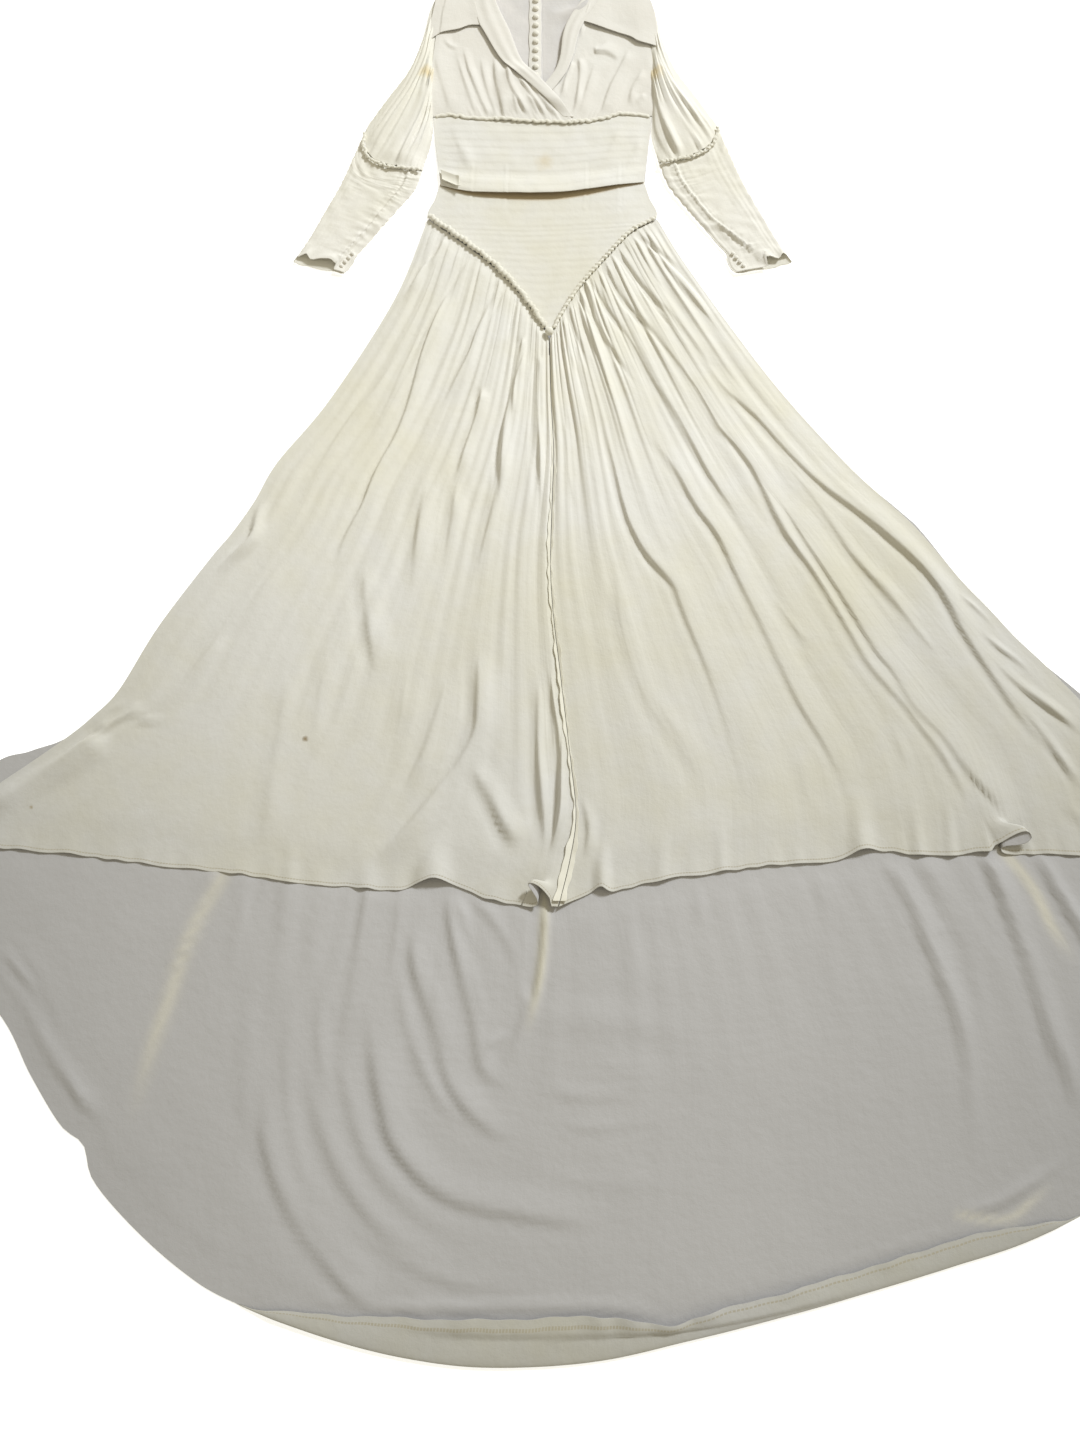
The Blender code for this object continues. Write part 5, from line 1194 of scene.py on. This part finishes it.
# Lower edge of each collar from the neck band to the armhole, and its outer edge up to the shoulder: x, y, z
COLLAR_LOW = {
    -1: [(-0.101, 0.9045, 0.0100), (-0.116, 0.9060, 0.0112), (-0.134, 0.8975, 0.0118), (-0.164, 0.8890, 0.0124),
         (-0.185, 0.8740, 0.0112)],
    1: [(0.097, 0.9010, 0.0100), (0.106, 0.8990, 0.0115), (0.145, 0.8830, 0.0130), (0.163, 0.8700, 0.0132),
        (0.196, 0.8600, 0.0118)],
}
COLLAR_OUT = {
    -1: [(-0.152, 1.0080, 0.0086), (-0.172, 0.9600, 0.0104), (-0.185, 0.8740, 0.0112)],
    1: [(0.160, 1.0080, 0.0086), (0.186, 0.9450, 0.0108), (0.196, 0.8600, 0.0118)],
}


def collar(side, label):
    """A wing of the collar, which lies over the shoulder and stands off the bodice along its lower edge."""
    plan, level = bodice_surface(side)
    reach = 0.36

    def sewn(t):
        v = np.atleast_1d(t) * reach
        share = np.interp(v, BAND_AT, BAND_SHARE[side])
        spots = plan(1 - share * 0.90, v)
        points = lift(spots, level(1 - share, v, spots) + 0.0042)
        return points if np.ndim(t) else points[0]

    top = smooth_line([sewn(0.0), (*body(side, 0.122, 1.028), 0.0092), COLLAR_OUT[side][0]])
    low = smooth_line([sewn(1.0), *[(x, y, z - 0.0030) for x, y, z in COLLAR_LOW[side][1:]]])
    out = smooth_line([*COLLAR_OUT[side][:-1], low(1.0)])
    fill = patch(top, low, sewn, out)

    def place(u, v):
        points = fill(u, v)
        x, y, _ = points.T
        points[:, 2] += 0.0005 * ripples(x, y, 0.04, 101 + side) * smooth(v / 0.1)
        points[:, 2] += 0.0010 * smooth((v - 0.86) / 0.14) * np.sin(np.pi * u)
        if side < 0:
            seam = 0.70 + 0.05 * v
            points[:, 2] -= 0.0014 * smooth((u - seam) / 0.012)
        else:
            points[:, 2] += 0.0012 * np.sin(u * 9) * smooth((v - 0.5) / 0.5)
        return points

    lay(f"collar_{label}", 48, 54, place, BODICE_FACES,
        (0.105, 0.135))


def collar_back():
    """The collar goes on behind the neck as a plain turned strip."""
    neck = np.array([0.53, 0.64, 0.77, 0.90, 1.0])
    clear = np.array([0.0, 0.0021])
    left, right = (back_top(side)(neck) + clear for side in (-1, 1))
    inner = smooth_line([*left, *right[-2::-1]])
    outer = smooth_line([body(-1, 0.106, 1.0560), body(-1, 0.060, 1.0620), body(1, 0.0, 1.0630),
                         body(1, 0.060, 1.0620), body(1, 0.106, 1.0560)])

    def place(u, v):
        spots = outer(u) * (1 - v)[:, None] + inner(u) * v[:, None]
        rise = 0.0030 * np.sin(np.pi * v) ** 0.6 + 0.0003 * ripples(*spots.T, 0.02, 111)
        return lift(spots, BACK_TOP + rise)

    lay("collar_back", 80, 16, place, BODICE_FACES, (0.22, 0.045))


def placket():
    """The placket down the inside of the back opening."""

    def place(u, v):
        x = BODY_X - 0.022 + 0.020 * u
        y = NAPE_Y - 0.004 + (UNDERBUST_Y - NAPE_Y) * v
        return np.column_stack([x + 0.0006 * np.sin(40 * v), y, FRONT_TOP - 0.0002 + 0.0008 * np.sin(np.pi * u)])

    lay("back_placket", 14, 90, place, ["rayon_crepe_bodice"], (0.020, 0.29))


def ruched(name, route, radius, rows, sides, seed, flat=1.0, depth=0.3):
    """A tube of cloth gathered along its length, through the route's points."""
    line = smooth_line(route)
    rng = np.random.default_rng(seed)
    knots = rows // 5
    pinched = rng.uniform(0.0, 0.40, knots) + 0.60 * (np.arange(knots) % 2)
    swell = np.interp(np.linspace(0, 1, rows + 1), np.linspace(0, 1, knots), pinched)
    slant = 0.006

    def place(u, v):
        middle = line(v)
        ahead = line(np.minimum(1, v + 0.002)) - line(np.maximum(0, v - 0.002))
        way = np.arctan2(ahead[:, 1], ahead[:, 0])
        turn = ROUND * u
        gathered = np.interp(np.clip(v + slant * np.cos(turn), 0, 1), np.linspace(0, 1, rows + 1), swell)
        full = radius * (1 - depth * gathered) * (0.25 + 0.75 * off_ends(v, 0.006))
        off, up = full * np.cos(turn), full * flat * np.sin(turn)
        return middle + np.column_stack([-np.sin(way) * off, np.cos(way) * off, up])

    mesh = gridded(name, sides, rows, place, ["rayon_crepe_trim"], (6.28 * radius, 0.30), crisp="")
    bm = bmesh.new()
    bm.from_mesh(mesh)
    bmesh.ops.remove_doubles(bm, verts=bm.verts, dist=1e-5)
    bmesh.ops.holes_fill(bm, edges=[e for e in bm.edges if e.is_boundary], sides=0)
    bmesh.ops.recalc_face_normals(bm, faces=bm.faces)
    bm.to_mesh(mesh)
    bm.free()
    keep(name, mesh)


def seam_piping(side, label):
    """The ruched cord over one side of the pointed seam."""
    radius = {-1: 0.0064, 1: 0.0044}[side]
    seam = smooth_line(POINTED_SEAM[side])(np.linspace(0.005, 0.955, 26))
    level = basque_level(*seam.T) + 0.0004 + 0.55 * radius
    wander = 0.0006 * np.sin(np.arange(26) * 2.1)
    route = np.column_stack([seam[:, 0] + wander, seam[:, 1] + radius * 0.8 + wander, level])
    ruched(f"seam_piping_{label}", route, radius, 330, 16, 121 + side, 0.70, 0.72)


def underbust_frill():
    """The gathered edge that stands along the seam under the bust."""
    share = np.linspace(0.01, 0.99, 80)
    x = BODY_X + (2 * share - 1) * HALF_UNDERBUST
    crossing = (0.15 * CROSSOVER + 0.0002) * smooth((x + 0.085) / 0.03) * (1 - smooth((x - 0.058) / 0.03))
    level = FRONT_TOP + side_rise(share, EASE + 0.0006) + crossing + 0.0008
    rng = np.random.default_rng(5)
    y = UNDERBUST_Y + seam_wave(x) - 0.0002 + rng.uniform(-0.0015, 0.0015, 80)
    ruched("underbust_frill", np.column_stack([x, y, level]), 0.0038, 330, 12, 131, 0.45, 0.45)


def front_seam(side, label):
    """The narrow raw seam edge that lies twisted along the centre front."""
    centre = smooth_line(CENTRE_FRONT)

    def place(u, v):
        run = 0.035 + 0.955 * v
        line = centre(run)
        twist = 0.7 * np.sin(23 * v + side) + 0.5 * np.sin(57 * v) + 0.5 * np.sin(131 * v + 2) + 0.4 * np.sin(223 * v)
        wide = (0.0034 if side < 0 else 0.0026) + 0.0012 * twist + 0.005 * smooth((v - 0.86) / 0.1)
        x = line[:, 0] + side * (0.0004 + wide * u)
        over = 0.0026 + 0.0012 * (side < 0) + 0.0008 * u * (1 + twist) + hem_wave(line[:, 0], run) * 0.9
        return np.column_stack([x, line[:, 1], FRONT_TOP + over])

    lay(f"front_seam_{label}", 6, 240, place, ["rayon_crepe_trim"], (0.010, 0.90))


def dome(name, spot, radius, flat, finish, folds=0, segments=20):
    """A covered button or a knot: a flattened ball that is drawn in round its foot, and over its sides by folds."""
    bm = bmesh.new()
    bmesh.ops.create_uvsphere(bm, u_segments=segments, v_segments=segments // 2, radius=radius)
    for vert in bm.verts:
        turn = math.atan2(vert.co.y, vert.co.x)
        low = max(0.0, -vert.co.z / radius)
        pull = 1 - 0.22 * low - 0.06 * folds * abs(math.sin(3.5 * turn)) * (1 - abs(vert.co.z) / radius)
        vert.co.x, vert.co.y = vert.co.x * pull, vert.co.y * pull
        vert.co.z *= flat
    bmesh.ops.translate(bm, vec=Vector(spot) + Vector((0, 0, radius * flat)), verts=bm.verts)
    mesh = bpy.data.meshes.new(name)
    bm.to_mesh(mesh)
    bm.free()
    mesh.materials.append(finishes()[finish])
    keep(name, mesh)


def buttons():
    """The covered buttons and the knot, each where its CAD solid is, but those at the wrists sunk onto the cuffs."""
    cut = bpy.context.scene.gown_cut
    for node_name in sorted(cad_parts):
        if not node_name.startswith(("back_button", "cuff_button")):
            continue
        low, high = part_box(node_name)
        radius = cut.button if node_name.startswith("back") else cut.cuff_button
        sunk = 0.0 if node_name.startswith("back") else CUFF_SUNK
        spot = ((low.x + high.x) / 2, (low.y + high.y) / 2, low.z - sunk)
        dome(node_name, spot, radius, BUTTON_FLAT, "rayon_crepe_button")
    low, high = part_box("point_knot")
    spot = ((low.x + high.x) / 2, (low.y + high.y) / 2, low.z)
    dome("point_knot", spot, (high.x - low.x) / 2, KNOT_FLAT, "rayon_crepe_trim", folds=1, segments=28)


def elbow_bow(side, across):
    """How far the bow of the elbow seam moves a point of the sleeve that lies at this share across it."""
    share = np.clip((1 - across) / 2, 0, 1)
    bow = ELBOW_BOW[side] * np.sin(np.pi * share ** (0.52 if side < 0 else 0.62)) + ELBOW_DROP[side] * share
    return bow[:, None] * ELBOW_WAY * [side, 1]


def round_sleeve(u):
    """Where u lies across a flat sleeve, from -1 at its inner edge to 1, and the sine of its turn, up to 1 on top."""
    turn = ROUND * u
    return -np.sign(np.cos(turn)) * np.abs(np.cos(turn)) ** 0.72, np.sin(turn)


def sleeve_points(side, sections, u, v, bump, bowed, full):
    """Points of a flat sleeve: u once round it from the inner edge over the top, v down it.

    bowed is the share of the elbow seam's bow at each point, and full the share of its fullness towards the body.
    """
    rows = smooth_line(np.array(sections), 8)(v)
    outer, inner, height = rows[:, 0:2], rows[:, 2:4] - full[:, None] * [0.010, 0.0], rows[:, 4]
    outer, inner = outer * [side, 1] + [BODY_X, 0], inner * [side, 1] + [BODY_X, 0]
    across, up = round_sleeve(u)
    level = height / 2 * (1 + np.sign(up) * np.abs(up) ** 0.55)
    middle, half = (outer + inner) / 2, (outer - inner) / 2
    rough = 0.0016 * streaks(v, np.sign(across), 9, 26, 145 + side) * smooth((np.abs(across) - 0.6) / 0.4)
    spots = middle + half * (across * (1 + rough / 0.05))[:, None] + elbow_bow(side, across) * bowed[:, None]
    return lift(spots, np.maximum(0.0012 * (up > 0), level + bump(across, v, smooth(up / 0.35))) + 0.0006)


def sleeve_upper(side, label):
    """An upper sleeve, gathered into the elbow seam."""

    def bump(across, v, top):
        rise = np.zeros(len(v))
        for k, (start, end, height, half, begin, fade) in enumerate(SLEEVE_FOLDS[side]):
            middle = start + (end - start) * v + 0.035 * np.sin(7 * v + 2.1 * k)
            off = (across - middle) / half
            lobe = bell(off, np.where(off * side < 0, 0.6, 1.6))
            uneven = 0.75 + 0.35 * np.sin(9 * v + 1.3 * k)
            down = smooth(v / begin) * (0.35 + 0.65 * smooth((1 - v) / fade))
            rise = np.maximum(rise, SLEEVE_FOLD_SCALE[side] * height * lobe * down * uneven)
        pinch = 0.0024 * gathers((across + 1) / 2, 1 - v, 26, 141 + side, 0.60, 0.0, -side)
        armhole = 0.0014 * gathers((across + 1) / 2, v, 14, 147 + side, 0.25, 0.0)
        crumple = 0.0005 * (1 + streaks(across, v, 3, 9, 149 + side))
        return (rise + pinch + armhole + crumple) * top * (1 - across**4)

    def place(u, v):
        full = 1.2 * smooth(v / 0.08) * (1 - smooth((v - 0.55) / 0.45))
        points = sleeve_points(side, UPPER_SLEEVE, u, v, bump, smooth((v - 0.35) / 0.65), full)
        under = 1 - smooth(v / 0.08)
        points[:, 0] -= side * 0.008 * under
        across = -np.cos(ROUND * u)
        points[:, 2] *= 1 - 0.60 * (1 - smooth((across + 1) / 0.90)) * (1 - smooth((v - 0.8) / 0.2))
        points[:, 2] *= 1 - 0.45 * (1 - smooth(v / 0.40)) - 0.30 * under
        points[:, 2] = np.maximum(points[:, 2], np.interp(np.sin(ROUND * u), *SLEEVE_LEAST))
        return points

    lay(f"sleeve_upper_{label}", 120, 76, place, SLEEVE_FACES, (0.40, 0.20),
        closed=True)


def sleeve_lower(side, label):
    """A lower sleeve, shirred in rows along its length, open at the cuff."""
    slit_way = {-1: (-0.66, -0.66, -0.68, -0.50), 1: (-0.60, -0.60, -0.46, 0.12)}[side]

    def bump(across, v, top):
        slit = np.interp(v, [0.0, 0.56, 0.66, 1.0], slit_way)
        channel = 0.0003 * np.abs(np.sin(np.pi * (across + 1) * 5.5)) ** 0.6
        crinkle = 0.0006 * streaks(v, across, 14, 48, 151 + side, 16)
        crinkle += 0.0009 * ripples(across * 0.05, v * 0.20, 0.010, 153 + side)
        crumple = 0.0008 * streaks(across, v, 2, 7, 155 + side)
        ruffle = 0.5 + 0.5 * np.sin(ROUND * 27 * v + 2 * np.sin(31 * v))
        beside_seam = across - slit
        seam = 0.0024 * (0.45 + 0.55 * ruffle) * bell(beside_seam, 0.035)
        seam = seam - 0.0014 * bell(beside_seam - 0.07, 0.03)
        lapped = 1 - smooth((beside_seam + 0.10) / 0.06)
        open_slit = -(0.0024 if side < 0 else 0.0030) * lapped * smooth((v - 0.62) / 0.06)
        tight = 0.0017 * gathers(v, np.abs(beside_seam), 30, 161 + side, 0.40, 0.0)
        edge = smooth(v / 0.03) * (0.4 + 0.6 * smooth((1 - v) / 0.03))
        return (channel + crinkle * (1 - 0.3 * v) + crumple + seam + open_slit + tight) * edge * (top + 0.2 * (1 - top))

    def place(u, v):
        points = sleeve_points(side, LOWER_SLEEVE, u, v, bump, 1 - smooth(v / 0.45), 0 * v)
        across, up = round_sleeve(u)
        mouth, top = smooth((v - 0.90) / 0.10), up > 0
        wavy = 0.5 + 0.5 * np.sin(9 * np.cos(ROUND * u) + 1.5 + side)
        lapped = 1 - smooth((across - slit_way[-1] + 0.08) / 0.06)
        along = np.where(top, 0.0100 * lapped - 0.0060 * wavy * (1 - lapped), 0.0095 + 0.0015 * wavy) * mouth
        points[:, :2] += np.outer(along, [side * 0.55, -0.83])
        points[:, 0] -= side * {-1: 0.010, 1: 0.018}[side] * smooth((v - 0.84) / 0.14) * smooth((0.3 - across) / 1.2)
        points[:, 2] += np.where(top, 0.0030 * wavy * (1 - lapped), 0.0) * mouth * np.abs(up) ** 0.5
        return points

    lay(f"sleeve_lower_{label}", 120, 108, place, SLEEVE_FACES, (0.22, 0.30),
        closed=True)
    ox, oy, ix, iy, height = LOWER_SLEEVE[0]
    outer, inner = np.array([BODY_X + side * ox, oy]), np.array([BODY_X + side * ix, iy])
    share = np.linspace(0.02, 0.98, 40)
    rng = np.random.default_rng(171 + side)
    spots = outer + (inner - outer) * share[:, None] + elbow_bow(side, 1 - 2 * share)
    spots = spots + rng.uniform(-0.0014, 0.0014, (40, 2))
    route = np.column_stack([spots, height + 0.0042 + 0.0006 * rng.uniform(-1, 1, 40)])
    ruched(f"elbow_frill_{label}", route, 0.0036, 180, 12, 181 + side, 0.65, 0.6)


class GownOperator:
    """What the operators of the pieces share."""

    bl_options = {"REGISTER", "UNDO"}

    def execute(self, context):
        self.make(context)
        return {"FINISHED"}


class GOWN_OT_skirt_back(GownOperator, bpy.types.Operator):
    """Build the back skirt with its train."""

    bl_idname = "gown.skirt_back"
    bl_label = "Back skirt and train"

    def make(self, context):
        skirt_back()


class GOWN_OT_skirt_front(GownOperator, bpy.types.Operator):
    """Build the two front halves of the skirt and the seam edges between them."""

    bl_idname = "gown.skirt_front"
    bl_label = "Front skirt"

    def make(self, context):
        for side, label in ((-1, "left"), (1, "right")):
            skirt_front(side, label)
            front_seam(side, label)


class GOWN_OT_basque(GownOperator, bpy.types.Operator):
    """Build the pointed basque and its ruched cords."""

    bl_idname = "gown.basque"
    bl_label = "Basque"

    def make(self, context):
        basque()
        for side, label in ((-1, "left"), (1, "right")):
            seam_piping(side, label)


class GOWN_OT_bodice(GownOperator, bpy.types.Operator):
    """Build the midriff, the bodice, its bands and its collar."""

    bl_idname = "gown.bodice"
    bl_label = "Bodice"

    def make(self, context):
        for side, label in ((-1, "left"), (1, "right")):
            back_bodice(side, label)
            bodice_front(side, label)
            neck_band(side, label)
            collar(side, label)
        collar_back()
        placket()
        midriff()
        underbust_frill()


class GOWN_OT_sleeves(GownOperator, bpy.types.Operator):
    """Build the sleeves and their elbow seams."""

    bl_idname = "gown.sleeves"
    bl_label = "Sleeves"

    def make(self, context):
        for side, label in ((-1, "left"), (1, "right")):
            sleeve_upper(side, label)
            sleeve_lower(side, label)


class GOWN_OT_buttons(GownOperator, bpy.types.Operator):
    """Build the covered buttons and the knot at the point."""

    bl_idname = "gown.buttons"
    bl_label = "Buttons"

    def make(self, context):
        buttons()


class GOWN_OT_stage(GownOperator, bpy.types.Operator):
    """Set up the floor, the lights and the camera."""

    bl_idname = "gown.stage"
    bl_label = "Stage"

    def make(self, context):
        scene = context.scene
        bm = bmesh.new()
        bmesh.ops.create_grid(bm, x_segments=1, y_segments=1, size=12)
        mesh = bpy.data.meshes.new("floor")
        bm.to_mesh(mesh)
        bm.free()
        floor = bpy.data.objects.new("floor", mesh)
        scene.collection.objects.link(floor)
        paint = bpy.data.materials.new("white_paper_roll")
        paint.use_nodes = True
        shader = paint.node_tree.nodes["Principled BSDF"]
        shader.inputs["Base Color"].default_value = (0.92, 0.92, 0.92, 1)
        shader.inputs["Roughness"].default_value = 0.9
        shader.inputs["Emission Color"].default_value = (1, 1, 1, 1)
        shader.inputs["Emission Strength"].default_value = 0.55
        mesh.materials.append(paint)
        key = bpy.data.lights.new("window_light", "AREA")
        key.shape = "DISK"
        key.size = 2.9
        key.energy = 2230.0
        key.color = (0.955, 1.0, 1.045)
        window = bpy.data.objects.new("window_light", key)
        window.location = WINDOW_AT
        aim = -window.location
        window.rotation_euler = aim.to_track_quat("-Z", "Y").to_euler()
        scene.collection.objects.link(window)
        world = bpy.data.worlds.new("soft_room")
        world.use_nodes = True
        sky = world.node_tree.nodes["Background"]
        sky.inputs["Color"].default_value = (1.0, 0.935, 0.74, 1)
        sky.inputs["Strength"].default_value = 0.47
        scene.world = world
        camera = bpy.data.cameras.new("phone_camera")
        camera.lens = 27.0
        camera.sensor_width = 36.0
        eye = bpy.data.objects.new("phone_camera", camera)
        eye.location = CAMERA_AT
        eye.rotation_euler = (CAMERA_TILT, 0.0, 0.0)
        scene.collection.objects.link(eye)
        scene.camera = eye
        scene.view_settings.view_transform = "Standard"


class GOWN_PT_panel(bpy.types.Panel):
    """Lists the gown's pieces, sizes and colours."""

    bl_label = "Evening gown"
    bl_idname = "GOWN_PT_panel"
    bl_space_type = "VIEW_3D"
    bl_region_type = "UI"
    bl_category = "Gown"

    def draw(self, context):
        for group in (context.scene.gown_cut, context.scene.gown_colours):
            for name in group.__annotations__:
                self.layout.prop(group, name)
        for operator in OPERATORS:
            self.layout.operator(operator.bl_idname)


OPERATORS = (GOWN_OT_stage, GOWN_OT_skirt_back, GOWN_OT_skirt_front, GOWN_OT_basque, GOWN_OT_bodice, GOWN_OT_sleeves,
             GOWN_OT_buttons)
CLASSES = (GownCut, GownColours, *OPERATORS, GOWN_PT_panel)


def register():
    for kind in CLASSES:
        bpy.utils.register_class(kind)
    bpy.types.Scene.gown_cut = PointerProperty(type=GownCut)
    bpy.types.Scene.gown_colours = PointerProperty(type=GownColours)


def unregister():
    del bpy.types.Scene.gown_cut
    del bpy.types.Scene.gown_colours
    for kind in reversed(CLASSES):
        bpy.utils.unregister_class(kind)


def main():
    """Builds the whole gown."""
    register()
    for operator in OPERATORS:
        getattr(bpy.ops.gown, operator.bl_idname.split(".")[1])()


if __name__ == "__main__":
    main()
